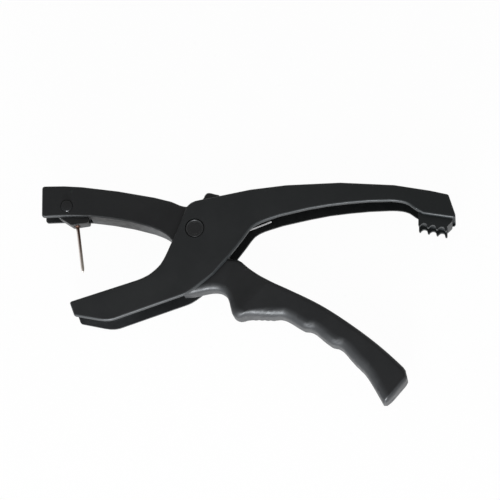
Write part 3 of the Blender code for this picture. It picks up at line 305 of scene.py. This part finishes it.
def pinFinish(name, look):
    # brown at its root, paler towards its point, and with a painted reflection along one side of the
    # pin;
    # the finish's place is the pin's root, and Y runs along the pin from there
    material, tree, shader, vector = emptyMaterial(name)
    colour = metalSkin(tree, shader, vector, look)
    upright = tree.nodes.new("ShaderNodeMapping")
    upright.vector_type = "TEXTURE"
    upright.inputs["Location"].default_value = look["place"]
    upright.inputs["Rotation"].default_value = (0.0, 0.0, look["tilt"])
    tree.links.new(vector, upright.inputs["Vector"])
    across = axisPart(tree, upright.outputs["Vector"], "X")
    along = axisPart(tree, upright.outputs["Vector"], "Y")
    root = rangeNode(tree, along, look["stainEnd"], look["stainStart"], 0.0, look["stainShare"])
    colour = mixColour(tree, root, colour, look["stain"])
    # painted reflection: a pale band along one side of the pin, below its collar
    side = rangeNode(tree, across, look["reflectionStart"], look["reflectionEnd"], 0.0, look["reflectionShare"])
    belowCollar = rangeNode(tree, along, look["collarEnd"], look["reflectionFull"], 0.0, 1.0)
    colour = mixColour(tree, mathNode(tree, "MULTIPLY", side, belowCollar), colour, look["bright"])
    tree.links.new(colour, shader.inputs["Base Color"])
    return material


# each moulded finish's painted shade colour is painted shade, blended in along X between its start and
# end
bodyBlack = mouldedFinish("bodyBlack", {
    "dark": (0.0092, 0.0106, 0.0114), "light": (0.0130, 0.0144, 0.0152), "grainScale": 2400.0,
    "paintedShade": (0.0042, 0.0062, 0.0066), "paintedShadeStart": -0.02, "paintedShadeEnd": 0.18,
    "glossLow": 0.46, "glossHigh": 0.54, "wear": 0.5, "rubbed": (0.024, 0.025, 0.027), "polish": 0.08,
    "specular": 0.33, "grainDepth": 0.00003})

leverBlack = mouldedFinish("leverBlack", {
    "dark": (0.0134, 0.0142, 0.0152), "light": (0.0172, 0.0180, 0.0190), "grainScale": 2100.0,
    "paintedShade": (0.0126, 0.0136, 0.0142), "paintedShadeStart": 0.02, "paintedShadeEnd": -0.10,
    "glossLow": 0.41, "glossHigh": 0.50, "wear": 0.5, "rubbed": (0.024, 0.025, 0.027), "polish": 0.08,
    "specular": 0.25, "grainDepth": 0.00004})

blackedSteel = mouldedFinish("blackedSteel", {
    "dark": (0.0100, 0.0106, 0.0114), "light": (0.0140, 0.0146, 0.0154), "grainScale": 5200.0,
    "paintedShade": (0.0090, 0.0096, 0.0104), "paintedShadeStart": 0.01, "paintedShadeEnd": -0.08,
    "glossLow": 0.28, "glossHigh": 0.36, "wear": 0.8, "rubbed": (0.05, 0.05, 0.055), "polish": 0.05,
    "specular": 0.33, "grainDepth": 0.00001})

naturalNylon = mouldedFinish("naturalNylon", {
    "dark": (0.52, 0.50, 0.45), "light": (0.60, 0.58, 0.53), "grainScale": 3000.0,
    "paintedShade": (0.50, 0.48, 0.43), "paintedShadeStart": 0.0, "paintedShadeEnd": 0.02,
    "glossLow": 0.35, "glossHigh": 0.45, "wear": 0.3, "rubbed": (0.50, 0.48, 0.44), "polish": 0.05,
    "specular": 0.5, "grainDepth": 0.00001})

brightSteel = metalFinish("brightSteel", {
    "dark": (0.66, 0.66, 0.67), "light": (0.82, 0.82, 0.83), "glossLow": 0.18, "glossHigh": 0.32,
    "streakDepth": 0.00002, "stretch": (0.25, 1.0, 1.0)})

# the pale colour along one side of the pin is a painted reflection
pinSteel = pinFinish("pinSteel", {
    "dark": (0.330, 0.300, 0.262), "light": (0.390, 0.356, 0.316), "glossLow": 0.42, "glossHigh": 0.52,
    "streakDepth": 0.00001, "place": (-0.0739, 0.0041, 0.013), "tilt": math.radians(9),
    "stain": (0.085, 0.048, 0.036), "stainStart": -0.004, "stainEnd": -0.030, "stainShare": 1.0,
    "bright": (0.80, 0.74, 0.70), "reflectionStart": 0.0001, "reflectionEnd": -0.0004, "reflectionShare": 0.95,
    "collarEnd": -0.001, "reflectionFull": -0.004})

finishes = {"body_plastic": bodyBlack, "lever_plastic": leverBlack, "blacked_steel": blackedSteel,
            "nylon": naturalNylon, "bright_steel": brightSteel, "pin_metal": pinSteel}
print("finishes ready")


# Making pieces

def meshPiece(bm, name):
    mesh = bpy.data.meshes.new(name)
    bm.to_mesh(mesh)
    bm.free()
    piece = bpy.data.objects.new(name, mesh)
    bpy.context.scene.collection.objects.link(piece)
    return piece


def finishPiece(name, bm, nodeName, body, slotName, smoothAngle=50.0):
    # the shape as a piece of its own, which stands for its node; a piece given no body rides on no one
    # body
    piece = meshPiece(bm, name)
    piece.data.materials.append(finishes[slotName])
    piece.data.shade_smooth()
    piece.data.set_sharp_from_angle(angle=math.radians(smoothAngle))
    even = piece.modifiers.new("evenShading", "WEIGHTED_NORMAL")
    even.keep_sharp = True
    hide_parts(nodeName)
    if body:
        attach(piece, body)
    return piece


def cleanSkin(bm):
    # corners in one spot and faces in one plane are joined
    bmesh.ops.remove_doubles(bm, verts=bm.verts, dist=sameSpot)
    bmesh.ops.dissolve_limit(bm, angle_limit=sameTurn, verts=bm.verts, edges=bm.edges)
    return bm


def mergedCopy(nodeName):
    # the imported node's loose triangles as one clean skin
    bm = bmesh.new()
    bm.from_mesh(frame["nodes"][nodeName].data)
    return cleanSkin(bm)


def finalShape(piece):
    # the shape that a piece has with its modifiers or its wire's thickness; the piece itself goes
    bpy.context.view_layer.update()
    mesh = bpy.data.meshes.new_from_object(piece.evaluated_get(bpy.context.evaluated_depsgraph_get()))
    bpy.data.objects.remove(piece, do_unlink=True)
    bm = bmesh.new()
    bm.from_mesh(mesh)
    bpy.data.meshes.remove(mesh)
    return bm


def carved(bm, cutter):
    # what is left of a closed shape once the cutter's room is taken out
    body = meshPiece(bm, "carvedBody")
    room = meshPiece(cutter, "carvedRoom")
    cut = body.modifiers.new("carve", "BOOLEAN")
    cut.object = room
    cut.solver = "EXACT"
    result = finalShape(body)
    bpy.data.objects.remove(room, do_unlink=True)
    return cleanSkin(result)


def outerEdges(bm, lowAngle=60, highAngle=130):
    # the edges that stand out and turn about a right angle
    return [edge for edge in bm.edges if len(edge.link_faces) == 2
            and math.radians(lowAngle) < edge.calc_face_angle_signed(0.0) < math.radians(highAngle)]


def roundEdges(bm, edges, offset, segments=2):
    bmesh.ops.bevel(bm, geom=edges, offset=offset, offset_type="OFFSET", segments=segments, profile=0.5,
                    affect="EDGES", clamp_overlap=True, material=-1)


# what counts as a lower edge and as the flat front
rimFaces = {"facingDown": -0.2, "facingFront": 0.999, "level": 0.00001}


def liftAt(look, along):
    # how much a lower edge is lifted at a place along the tool
    for (start, low), (end, high) in zip(look["lifts"], look["lifts"][1:]):
        if start <= along <= end:
            return low + (high - low) * (along - start) / (end - start)
    return 0.0


def liftLowerEdge(bm, look):
    # the lower edge rises towards the front by the mould's draft, but not at the hole near it
    bm.normal_update()
    faces = [face for face in bm.faces if face.normal.y < rimFaces["facingDown"]
             and min(vert.co.z for vert in face.verts) > look["faceAbove"]]
    for vert in {vert for face in faces for vert in face.verts}:
        if (vert.co.xy - look["hole"]).length > look["holeRoom"]:
            share = (vert.co.z - look["still"]) / look["draftDepth"]
            vert.co.y += liftAt(look, vert.co.x) * min(max(share, 0.0), 1.0)
    # the flat front is filled anew inside its moved outline
    front = [face for face in bm.faces if face.normal.z > rimFaces["facingFront"]
             and min(vert.co.z for vert in face.verts) > look["front"] - rimFaces["level"]]
    bmesh.ops.delete(bm, geom=front, context="FACES")
    outline = [edge for edge in bm.edges if edge.is_boundary]
    bmesh.ops.triangle_fill(bm, use_beauty=True, use_dissolve=True, edges=outline, normal=(0, 0, 1))
    bmesh.ops.recalc_face_normals(bm, faces=bm.faces)


def polar(radius, angle):
    return Vector((radius * math.cos(angle), radius * math.sin(angle)))


cornerSteps = 3
cornerMost = 0.4  # the most of a side that a rounded corner takes


def softened(corners, radius, closed=False):
    # the profile with its corners rounded, all but the two ends of an open one
    points = []
    for index, corner in enumerate(corners):
        corner = Vector(corner)
        if not closed and index in (0, len(corners) - 1):
            points.append(corner)
            continue
        before = Vector(corners[index - 1]) - corner
        after = Vector(corners[(index + 1) % len(corners)]) - corner
        reach = min(radius, before.length * cornerMost, after.length * cornerMost)
        first = corner + before.normalized() * reach
        last = corner + after.normalized() * reach
        for step in range(cornerSteps + 1):
            share = step / cornerSteps
            middle = corner * 2 * share * (1 - share)
            points.append(first * (1 - share) ** 2 + middle + last * share ** 2)
    return points


def domePoints(radius, height, base, endTurn, steps):
    # a dome's profile from its rim towards its crown
    turns = [endTurn * step / steps for step in range(steps + 1)]
    return [Vector((radius * math.cos(turn), base + height * math.sin(turn))) for turn in turns]


def turnedShape(profile, place=None, steps=72, closed=False):
    # points of radius and height spun about the local Z axis
    bm = bmesh.new()
    verts = [bm.verts.new((point[0], 0.0, point[1])) for point in profile]
    pairs = list(zip(verts, verts[1:]))
    if closed:
        pairs.append((verts[-1], verts[0]))
    edges = [bm.edges.new(pair) for pair in pairs]
    bmesh.ops.spin(bm, geom=verts + edges, axis=(0, 0, 1), cent=(0, 0, 0), angle=math.tau, steps=steps,
                   use_merge=True)
    bmesh.ops.remove_doubles(bm, verts=bm.verts, dist=sameSpot)
    bmesh.ops.recalc_face_normals(bm, faces=bm.faces)
    if place:
        bmesh.ops.transform(bm, matrix=place, verts=bm.verts)
    return bm


def ringShape(inner, outer, low, high, place=None):
    corners = [(inner, low), (outer, low), (outer, high), (inner, high)]
    return turnedShape(softened(corners, edgeRound / 2, closed=True), place, closed=True)


socketSides = 6


def socketedShape(profile, socket, place, steps=72):
    # a turned body whose open end is closed by a six-sided socket
    bm = turnedShape(profile, steps=steps)
    rim = [edge for edge in bm.edges if edge.is_boundary]
    top = profile[-1][1]
    bmesh.ops.create_circle(bm, segments=socketSides, radius=socket["radius"],
                            matrix=Matrix.Translation((0, 0, top)))
    sides = [edge for edge in bm.edges if edge.is_wire]
    bmesh.ops.subdivide_edges(bm, edges=sides, cuts=steps // socketSides - 1)
    sides = [edge for edge in bm.edges if edge.is_wire]
    bmesh.ops.bridge_loops(bm, edges=rim + sides)
    lip = [edge for edge in bm.edges if edge.is_boundary]
    walls = bmesh.ops.extrude_edge_only(bm, edges=lip)
    lowered = [item for item in walls["geom"] if isinstance(item, bmesh.types.BMVert)]
    bmesh.ops.translate(bm, verts=lowered, vec=(0, 0, socket["floor"] - top))
    bmesh.ops.holes_fill(bm, edges=[edge for edge in bm.edges if edge.is_boundary], sides=0)
    bmesh.ops.recalc_face_normals(bm, faces=bm.faces)
    bmesh.ops.transform(bm, matrix=place, verts=bm.verts)
    return bm


def wireShape(points, thickness):
    # a round wire along the points, as a closed skin
    curve = bpy.data.curves.new("wirePath", "CURVE")
    curve.dimensions = "3D"
    curve.bevel_depth = thickness / 2
    curve.bevel_resolution = 4
    curve.use_fill_caps = True
    spline = curve.splines.new("POLY")
    spline.points.add(len(points) - 1)
    for knot, point in zip(spline.points, points):
        knot.co = (*point, 1.0)
    holder = bpy.data.objects.new("wirePath", curve)
    bpy.context.scene.collection.objects.link(holder)
    bm = finalShape(holder)
    bmesh.ops.remove_doubles(bm, verts=bm.verts, dist=sameSpot)
    bmesh.ops.recalc_face_normals(bm, faces=bm.faces)
    return bm


def springShape(look):
    # from the first leg's tip round the coil to the second leg's tip
    steps = round(abs(look["sweep"]) / look["step"])
    turns = [look["enter"] + look["sweep"] * step / steps for step in range(steps + 1)]
    height = (look["wire"] + look["turnGap"]) * abs(look["sweep"]) / math.tau
    high = midHeight + height / 2
    coil = [Vector((*polar(look["radius"], turn), high - height * step / steps))
            for step, turn in enumerate(turns)]
    first = coil[0] + Vector((*polar(look["firstLeg"], look["firstTurn"]), 0))
    last = coil[-1] + Vector((*polar(look["lastLeg"], look["lastTurn"]), 0))
    points = [point + look["centre"] for point in [first, *coil, last]]
    return wireShape(points, look["wire"]), high - look["wire"] / 2, high - height + look["wire"] / 2


# Outer frame: upper handle, head and lower jaw

# each lift belongs to a place along the tool; only the front cheek's own thickness moves
frameRim = {"lifts": ((-0.076, 0.0006), (-0.054, 0.0012), (-0.027, 0.0014), (0.006, 0.0013),
                      (0.018, 0.0005), (0.030, 0.0001), (0.045, 0.0008), (0.063, 0.0011),
                      (0.081, 0.0008), (0.111, 0.0007), (0.130, 0.0)),
            "faceAbove": 0.0222, "still": 0.0220, "draftDepth": 0.0002, "front": toolWidth,
            "hole": Vector((0, 0)), "holeRoom": 0.008}

bm = mergedCopy("outer_frame")
liftLowerEdge(bm, frameRim)
roundEdges(bm, outerEdges(bm), edgeRound)
finishPiece("frameMoulding", bm, "outer_frame", "frame", "body_plastic")
print("frame moulding ready")


# Inner lever: upper jaw, hub and grip

scoops = {"ridges": ((0.0272, -0.0541), (0.0485, -0.0530), (0.0665, -0.0602), (0.0834, -0.0698),
                     (0.0985, -0.0818), (0.1137, -0.1038)),  # from the hub to the grip's end
          "skews": (0.0001, 0.0004, 0.0005, 0.0005, 0.0002),  # deeper near the first ridge of the two
          "fills": (0.00075, 0.00005, 0.00035, 0.0003, 0.0001),  # fuller in the middle
          "bend": 0.8, "fullBelow": 0.0062, "stillAbove": 0.0110,
          "longest": 0.0015, "alongShare": 0.85, "cuts": 2,
          "flatTilt": 0.9, "smoothTurns": 2, "smoothShare": 0.5}


def scoopPlace(point):
    # the scoop that a point belongs to, its share along the scoop and its height over the ridges
    nearest = None
    for index, (start, end) in enumerate(zip(scoops["ridges"], scoops["ridges"][1:])):
        chord = Vector(end) - Vector(start)
        reach = point.xy - Vector(start)
        share = reach.dot(chord) / chord.length_squared
        rise = reach.dot(Vector((-chord.y, chord.x)).normalized())
        if 0 <= share <= 1 and abs(rise) < scoops["stillAbove"]:
            if nearest is None or abs(rise) < abs(nearest[2]):
                nearest = (index, share, rise)
    return nearest


def divideScoops(bm, chords):
    # long edges that run along a scoop are divided, so that the scoop can bend
    long = []
    for edge in bm.edges:
        ends = [scoopPlace(vert.co) for vert in edge.verts]
        if None in ends or edge.calc_length() < scoops["longest"]:
            continue
        line = edge.verts[1].co - edge.verts[0].co
        if abs(line.xy.dot(chords[ends[0][0]])) > scoops["alongShare"] * line.length:
            long.append(edge)
    bmesh.ops.subdivide_edges(bm, edges=long, cuts=scoops["cuts"], use_grid_fill=True)


def shapeScoops(bm):
    # each finger scoop bites in close to its first ridge and fills out towards the next one
    ridges = [Vector(ridge) for ridge in scoops["ridges"]]
    chords = [(end - start).normalized() for start, end in zip(ridges, ridges[1:])]
    divideScoops(bm, chords)
    for vert in bm.verts:
        found = scoopPlace(vert.co)
        if found is None:
            continue
        index, share, rise = found
        fade = (scoops["stillAbove"] - rise) / (scoops["stillAbove"] - scoops["fullBelow"])
        fade = min(max(fade, 0.0), 1.0)
        bite = scoops["skews"][index] * math.sin(math.tau * share ** scoops["bend"])
        bite -= scoops["fills"][index] * math.sin(math.pi * share)
        inwards = Vector((-chords[index].y, chords[index].x, 0))
        vert.co += inwards * bite * fade * fade * (3 - 2 * fade)
    bm.normal_update()
    rounding = [vert for vert in bm.verts
                if scoopPlace(vert.co) and abs(vert.normal.z) < scoops["flatTilt"]]
    for repeat in range(scoops["smoothTurns"]):
        bmesh.ops.smooth_vert(bm, verts=rounding, factor=scoops["smoothShare"],
                              use_axis_x=True, use_axis_y=True, use_axis_z=False)


# the jaw's underside rises over the lever's whole width
jawRim = {"lifts": ((-0.096, 0.0005), (-0.080, 0.0007), (-0.050, 0.0011), (-0.038, 0.0014),
                    (-0.024, 0.0010), (-0.014, 0.0)),
          "faceAbove": 0.0, "still": leverLow, "draftDepth": leverHigh - leverLow, "front": leverHigh,
          "hole": axlePoint.xy, "holeRoom": 0.006}

bm = mergedCopy("inner_lever")
liftLowerEdge(bm, jawRim)
shapeScoops(bm)
roundEdges(bm, outerEdges(bm), edgeRound)
finishPiece("leverMoulding", bm, "inner_lever", "lever", "lever_plastic")
print("lever moulding ready")


# Stop comb under the handle's end, hollowed from below between two plates

comb = {"edgeRound": 0.0003, "grooveTop": (0.1422, 0.0025), "turn": math.radians(-11.9), "cover": 0.0016,
        "roomLength": 0.0178, "roomDepth": 0.012, "plate": 0.0030, "sliver": 0.00001}

low, high = (corner.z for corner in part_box("stop_comb"))
room = bmesh.new()
roomSize = (comb["roomLength"], comb["roomDepth"], high - low - 2 * comb["plate"])
place = Matrix.Translation((*comb["grooveTop"], midHeight)) @ Matrix.Rotation(comb["turn"], 4, "Z")
place = place @ Matrix.Translation((0, comb["cover"] - comb["roomDepth"] / 2, 0))
bmesh.ops.create_cube(room, size=1.0, matrix=place @ Matrix.Diagonal((*roomSize, 1.0)))
bm = carved(mergedCopy("stop_comb"), room)
roundEdges(bm, outerEdges(bm), comb["edgeRound"])
bmesh.ops.dissolve_degenerate(bm, edges=bm.edges, dist=comb["sliver"])
finishPiece("stopComb", bm, "stop_comb", "frame", "body_plastic")
print("stop comb ready")


# Pivot: headed pin, clip, sleeve and the two washers

pivot = {"shank": 0.004, "head": 0.0057, "headHeight": 0.0017, "chamfer": 0.0006, "grooveDepth": 0.0009,
         "grooveLow": 2 * gap, "grooveHigh": 0.0022, "cornerRound": 0.00015, "lip": 0.0050,
         "dish": 0.0045, "dishDepth": 0.0005, "ringOuter": 0.0040, "ringInner": 0.0034,
         "ringDepth": 0.0002, "steps": 96, "smoothAngle": 40.0}

headLow = toolWidth - pivot["headHeight"]
grooveRadius = pivot["shank"] - pivot["grooveDepth"]
dishTop = toolWidth - pivot["dishDepth"]
ringMiddle = (pivot["ringOuter"] + pivot["ringInner"]) / 2
profile = [
    (0, 0), (pivot["shank"], 0), (pivot["shank"], pivot["grooveLow"]),
    (grooveRadius, pivot["grooveLow"]), (grooveRadius, pivot["grooveHigh"]),
    (pivot["shank"], pivot["grooveHigh"]),
    (pivot["shank"], headLow), (pivot["head"], headLow), (pivot["head"], toolWidth - pivot["chamfer"]),
    (pivot["head"] - pivot["chamfer"], toolWidth), (pivot["lip"], toolWidth), (pivot["dish"], dishTop),
    (pivot["ringOuter"], dishTop), (ringMiddle, dishTop - pivot["ringDepth"]),
    (pivot["ringInner"], dishTop), (0, dishTop)]
bm = turnedShape(softened(profile, pivot["cornerRound"]), steps=pivot["steps"])
finishPiece("pivotPin", bm, "pivot_pin", "frame", "blacked_steel", pivot["smoothAngle"])

circlip = {"radius": 0.006, "wall": 0.001, "low": 3 * gap, "halfOpening": math.radians(40), "steps": 56}


def circlipShape(look):
    # a flat ring with an opening, raised and with its edges taken off
    inner = grooveRadius + gap
    sweep = math.tau - 2 * look["halfOpening"]
    turns = [look["halfOpening"] + sweep * step / look["steps"] for step in range(look["steps"] + 1)]
    outline = [polar(look["radius"], turn) for turn in turns]
    outline += [polar(inner, turn) for turn in reversed(turns)]
    bm = bmesh.new()
    face = bm.faces.new([bm.verts.new((point.x, point.y, look["low"])) for point in outline])
    raised = bmesh.ops.extrude_face_region(bm, geom=[face])
    top = [item for item in raised["geom"] if isinstance(item, bmesh.types.BMVert)]
    bmesh.ops.translate(bm, verts=top, vec=(0, 0, look["wall"]))
    bmesh.ops.recalc_face_normals(bm, faces=bm.faces)
    roundEdges(bm, outerEdges(bm), edgeRound / 2)
    return bm


finishPiece("pivotClip", circlipShape(circlip), "pivot_circlip", "frame", "blacked_steel")

bearing = {"bore": 0.0043, "sleeve": 0.0057, "washer": 0.009, "washerWall": 0.0005,
           "rearWasherLow": 0.0035}

bm = ringShape(bearing["bore"], bearing["sleeve"], leverLow, leverHigh)
finishPiece("pivotSleeve", bm, "pivot_sleeve", "lever", "bright_steel")
for name, nodeName, low in (("rearWasher", "rear_thrust_washer", bearing["rearWasherLow"]),
                            ("frontWasher", "front_thrust_washer", leverHigh + gap)):
    bm = ringShape(bearing["bore"], bearing["washer"], low, low + bearing["washerWall"])
    finishPiece(name, bm, nodeName, "frame", "nylon")
print("pivot ready")


# Return spring: two turns and a part round the hub, with a leg into each half of the tool

returnSpring = {"wire": 0.0016, "radius": 0.0094, "turnGap": 0.0005, "step": math.radians(8),
                "enter": math.radians(38), "sweep": math.radians(254 + 2 * 360), "centre": Vector(),
                "firstLeg": 0.0236, "firstTurn": math.radians(-52),
                "lastLeg": 0.0443, "lastTurn": math.radians(22)}

bm, high, low = springShape(returnSpring)
piece = finishPiece("returnSpring", bm, "return_spring", None, "bright_steel")
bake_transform(piece)
print("return spring ready")


# Carrier's axle and the clip behind it

axle = {"radius": 0.002, "head": 0.0037, "dome": 0.0008, "flank": 0.0004, "domeSteps": 8,
        "recess": 0.001, "clipWall": 0.0004, "cornerRound": 0.00012}

place = Matrix.Translation(axlePoint)
seat = leverHigh - axle["recess"] + gap
rim = leverHigh - gap / 2
profile = softened([(0, leverLow), (axle["radius"], leverLow), (axle["radius"], seat),
                    (axle["head"], seat), (axle["head"], rim)], axle["cornerRound"])
profile += domePoints(axle["head"] - axle["flank"], axle["dome"] - axle["flank"], rim + axle["flank"],
                      math.pi / 2, axle["domeSteps"])
bm = turnedShape(profile, place)
finishPiece("carrierAxle", bm, "carrier_axle", "lever", "blacked_steel")

low = leverLow + axle["recess"] - gap - axle["clipWall"]
bm = ringShape(axle["radius"] + gap, axle["head"], low, low + axle["clipWall"], place)
finishPiece("axleClip", bm, "carrier_axle_clip", "lever", "bright_steel")
print("axle ready")


# Pin carrier with its pin, lock screw and spring

carrier = {"tilt": math.radians(9), "drop": 0.0116, "edgeRound": 0.00015, "roundedTurns": (70, 110)}

bm = mergedCopy("pin_carrier")
roundEdges(bm, outerEdges(bm, *carrier["roundedTurns"]), carrier["edgeRound"])
finishPiece("pinCarrier", bm, "pin_carrier", "carrier", "lever_plastic")

pin = {"radius": 0.00105, "length": 0.0295, "point": 0.0028, "shoulderShare": 0.72, "collar": 0.00135,
       "collarLength": 0.001, "stem": 0.0018, "stemLength": 0.0052, "offset": 0.0039,
       "cornerRound": 0.0002, "steps": 48}

carrierPlace = Matrix.Translation(axlePoint) @ Matrix.Rotation(carrier["tilt"], 4, "Z")
place = carrierPlace @ Matrix.Translation((pin["offset"], -carrier["drop"], midHeight))
place = place @ Matrix.Rotation(math.pi / 2, 4, "X")
pointStart = pin["length"] - pin["point"]
profile = [(0, -pin["stemLength"]), (pin["stem"], -pin["stemLength"]), (pin["stem"], 0),
           (pin["collar"], gap), (pin["collar"], pin["collarLength"] / 2),
           (pin["radius"], pin["collarLength"]), (pin["radius"], pointStart),
           (pin["radius"] * pin["shoulderShare"], pointStart + pin["point"] / 2), (0, pin["length"])]
bm = turnedShape(softened(profile, pin["cornerRound"]), place, steps=pin["steps"])
finishPiece("applicatorPin", bm, "applicator_pin", "carrier", "pin_metal")

lockScrew = {"radius": 0.0015, "length": 0.0036, "socketRadius": 0.0008, "socketDepth": 0.0015,
             "steps": 48, "smoothAngle": 35.0}

start = pin["offset"] + pin["stem"] + gap
end = start + lockScrew["length"]
place = carrierPlace @ Matrix.Translation((0, -carrier["drop"] + pin["stemLength"] / 2, midHeight))
place = place @ Matrix.Rotation(math.pi / 2, 4, "Y")
rim = lockScrew["radius"] - gap
profile = [(0, start), (rim, start), (lockScrew["radius"], start + gap),
           (lockScrew["radius"], end - gap), (rim, end)]
socket = {"radius": lockScrew["socketRadius"], "floor": end - lockScrew["socketDepth"]}
bm = socketedShape(profile, socket, place, steps=lockScrew["steps"])
finishPiece("pinLockScrew", bm, "pin_lock_screw", "carrier", "blacked_steel", lockScrew["smoothAngle"])

carrierSpring = {"wire": 0.0007, "radius": 0.0032, "turnGap": 0.0005, "step": math.radians(10),
                 "enter": math.radians(20), "sweep": math.radians(-2.5 * 360), "centre": axlePoint,
                 "firstLeg": 0.00878, "firstTurn": math.radians(110),
                 "lastLeg": 0.0032, "lastTurn": math.radians(110)}

bm, high, low = springShape(carrierSpring)
piece = finishPiece("carrierSpring", bm, "carrier_spring", None, "bright_steel")
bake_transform(piece)
print("pin carrier ready")


# Tag seat on the lower jaw: anvil plate, forked clip and its two screws

tagSeat = {"recess": 0.0005, "plate": 0.0015, "moulding": 0.003, "clip": 0.0008, "cornerRound": 0.00015,
           "tip": Vector((-0.0747308, -0.0452368, 0.0)), "turn": math.radians(18.3612)}

for name, nodeName in (("anvilPlate", "tag_anvil"), ("forkedClip", "tag_clip")):
    bm = mergedCopy(nodeName)
    roundEdges(bm, outerEdges(bm), tagSeat["cornerRound"])
    finishPiece(name, bm, nodeName, "frame", "bright_steel")

clipScrew = {"radius": 0.00125, "head": 0.0024, "headHeight": 0.0016, "rimShare": 1 / 3,
             "domeTurn": math.radians(60), "domeSteps": 6, "socketRadius": 0.001, "socketDepth": 0.0009,
             "cornerRound": 0.0001, "places": (0.025, 0.033), "smoothAngle": 35.0}


def seatPlace(along):
    # local Z out of the seat, at a place along the lower jaw
    turn = Matrix.Rotation(tagSeat["turn"], 4, "Z") @ Matrix.Rotation(-math.pi / 2, 4, "X")
    tip = tagSeat["tip"] + Vector((0, 0, midHeight))
    return Matrix.Translation(tip) @ turn @ Matrix.Translation((along, 0, 0))


def clipScrewShape(look, along):
    # drawn with its head upwards, then turned over: the head faces down from the seat
    shankEnd = tagSeat["recess"] + gap
    headStart = tagSeat["recess"] + tagSeat["plate"] + tagSeat["moulding"] + tagSeat["clip"] + 3 * gap
    rim = headStart + look["headHeight"] * look["rimShare"]
    top = headStart + look["headHeight"]
    profile = softened([(0, shankEnd), (look["radius"], shankEnd), (look["radius"], headStart),
                        (look["head"], headStart), (look["head"], rim)], look["cornerRound"])
    profile += domePoints(look["head"], top - rim, rim, look["domeTurn"], look["domeSteps"])[1:]
    profile[-1].y = top
    socket = {"radius": look["socketRadius"], "floor": top - look["socketDepth"]}
    return socketedShape(profile, socket, seatPlace(along) @ Matrix.Rotation(math.pi, 4, "X"))


for number, along in enumerate(clipScrew["places"], start=1):
    bm = clipScrewShape(clipScrew, along)
    finishPiece(f"clipScrew{number}", bm, f"tag_clip_screw_{number}", "frame", "blacked_steel",
                clipScrew["smoothAngle"])
print("tag seat ready")


# Floor, light and camera

def raySeen(tree):
    # one for what the camera sees, also by reflection or through glass
    path = tree.nodes.new("ShaderNodeLightPath")
    seen = mathNode(tree, "ADD", path.outputs["Is Camera Ray"], path.outputs["Is Glossy Ray"])
    seen = mathNode(tree, "ADD", seen, path.outputs["Is Transmission Ray"])
    return mathNode(tree, "MINIMUM", seen, 1.0)


def floorFinish(name, look):
    # a pale matte floor that the camera sees as paper white, with part of the shadow kept
    material, tree, shader, vector = emptyMaterial(name)
    speckle = noiseNode(tree, vector, look["speckleScale"], look["speckleDetail"])
    tree.links.new(mixColour(tree, speckle, look["dark"], look["light"]), shader.inputs["Base Color"])
    shader.inputs["Roughness"].default_value = look["roughness"]
    shader.inputs["Specular IOR Level"].default_value = look["specular"]
    glow = tree.nodes.new("ShaderNodeEmission")
    glow.inputs["Color"].default_value = (1.0, 1.0, 1.0, 1.0)
    glow.inputs["Strength"].default_value = 1.0
    share = mathNode(tree, "MULTIPLY", raySeen(tree), look["whiteShare"])
    mix = tree.nodes.new("ShaderNodeMixShader")
    tree.links.new(share, mix.inputs["Fac"])
    tree.links.new(shader.outputs["BSDF"], mix.inputs[1])
    tree.links.new(glow.outputs["Emission"], mix.inputs[2])
    tree.links.new(mix.outputs["Shader"], tree.nodes["Material Output"].inputs["Surface"])
    return material


floorLook = {"dark": (0.80, 0.80, 0.80), "light": (0.84, 0.84, 0.84), "whiteShare": 0.97,
             "roughness": 0.9, "specular": 0.1, "speckleScale": 900.0, "speckleDetail": 4.0, "steps": 96,
             "profile": [(0, 0), (2.0, 0), (2.6, 0.1), (3.0, 0.4), (3.2, 0.9), (3.25, 1.6)]}

bm = turnedShape(floorLook["profile"], steps=floorLook["steps"])
if sum(face.normal.z for face in bm.faces) < 0:
    bmesh.ops.reverse_faces(bm, faces=bm.faces)
floor = meshPiece(bm, "paleFloor")
floor.data.materials.append(floorFinish("paleFloor", floorLook))
floor.data.shade_smooth()

worldLook = {"colour": (1.0, 1.0, 1.0), "softLight": 0.53}

world = bpy.data.worlds.new("studio")
bpy.context.scene.world = world
world.use_nodes = True
background = world.node_tree.nodes["Background"]
background.inputs["Color"].default_value = (*worldLook["colour"], 1.0)
background.inputs["Strength"].default_value = worldLook["softLight"]


def softBox(name, look):
    light = bpy.data.lights.new(name, "AREA")
    light.shape = "RECTANGLE"
    light.size = look["width"]
    light.size_y = look["height"]
    light.energy = look["watts"]
    light.color = look["colour"]
    holder = bpy.data.objects.new(name, light)
    holder.location = look["place"]
    aim = Vector(look["aim"]) - Vector(look["place"])
    holder.rotation_euler = aim.to_track_quat("-Z", "Y").to_euler()
    bpy.context.scene.collection.objects.link(holder)


softBox("lowerBox", {"width": 0.4, "height": 0.14, "watts": 28.0, "colour": (0.92, 0.96, 1.0),
                     "place": (0.0, -1.0, 0.08), "aim": (0.03, 0.0, 0.012)})
softBox("frontFill", {"width": 0.3, "height": 0.2, "watts": 0.7, "colour": (1.0, 0.985, 0.97),
                      "place": (-0.04, -0.42, 0.28), "aim": (0.0, -0.03, 0.0)})

# the camera looks at the tool's front from a little towards the grip and the handles' ends
photoView = {"aim": (0.032313, -0.010622, 0.013), "distance": 1.256642, "tilt": math.radians(12.59182),
             "swing": math.radians(6.16503), "lens": 149.98, "sensor": 36.0, "clipStart": 0.05}

camera = bpy.data.cameras.new("photoView")
camera.lens = photoView["lens"]
camera.sensor_width = photoView["sensor"]
camera.clip_start = photoView["clipStart"]
cameraHolder = bpy.data.objects.new("photoView", camera)
turn = Matrix.Rotation(photoView["tilt"], 4, "X") @ Matrix.Rotation(photoView["swing"], 4, "Y")
away = Matrix.Translation((0, 0, photoView["distance"]))
cameraHolder.matrix_world = Matrix.Translation(photoView["aim"]) @ turn @ away
bpy.context.scene.collection.objects.link(cameraHolder)
bpy.context.scene.camera = cameraHolder
bpy.context.scene.view_settings.view_transform = "Standard"
print("floor, light and camera ready")
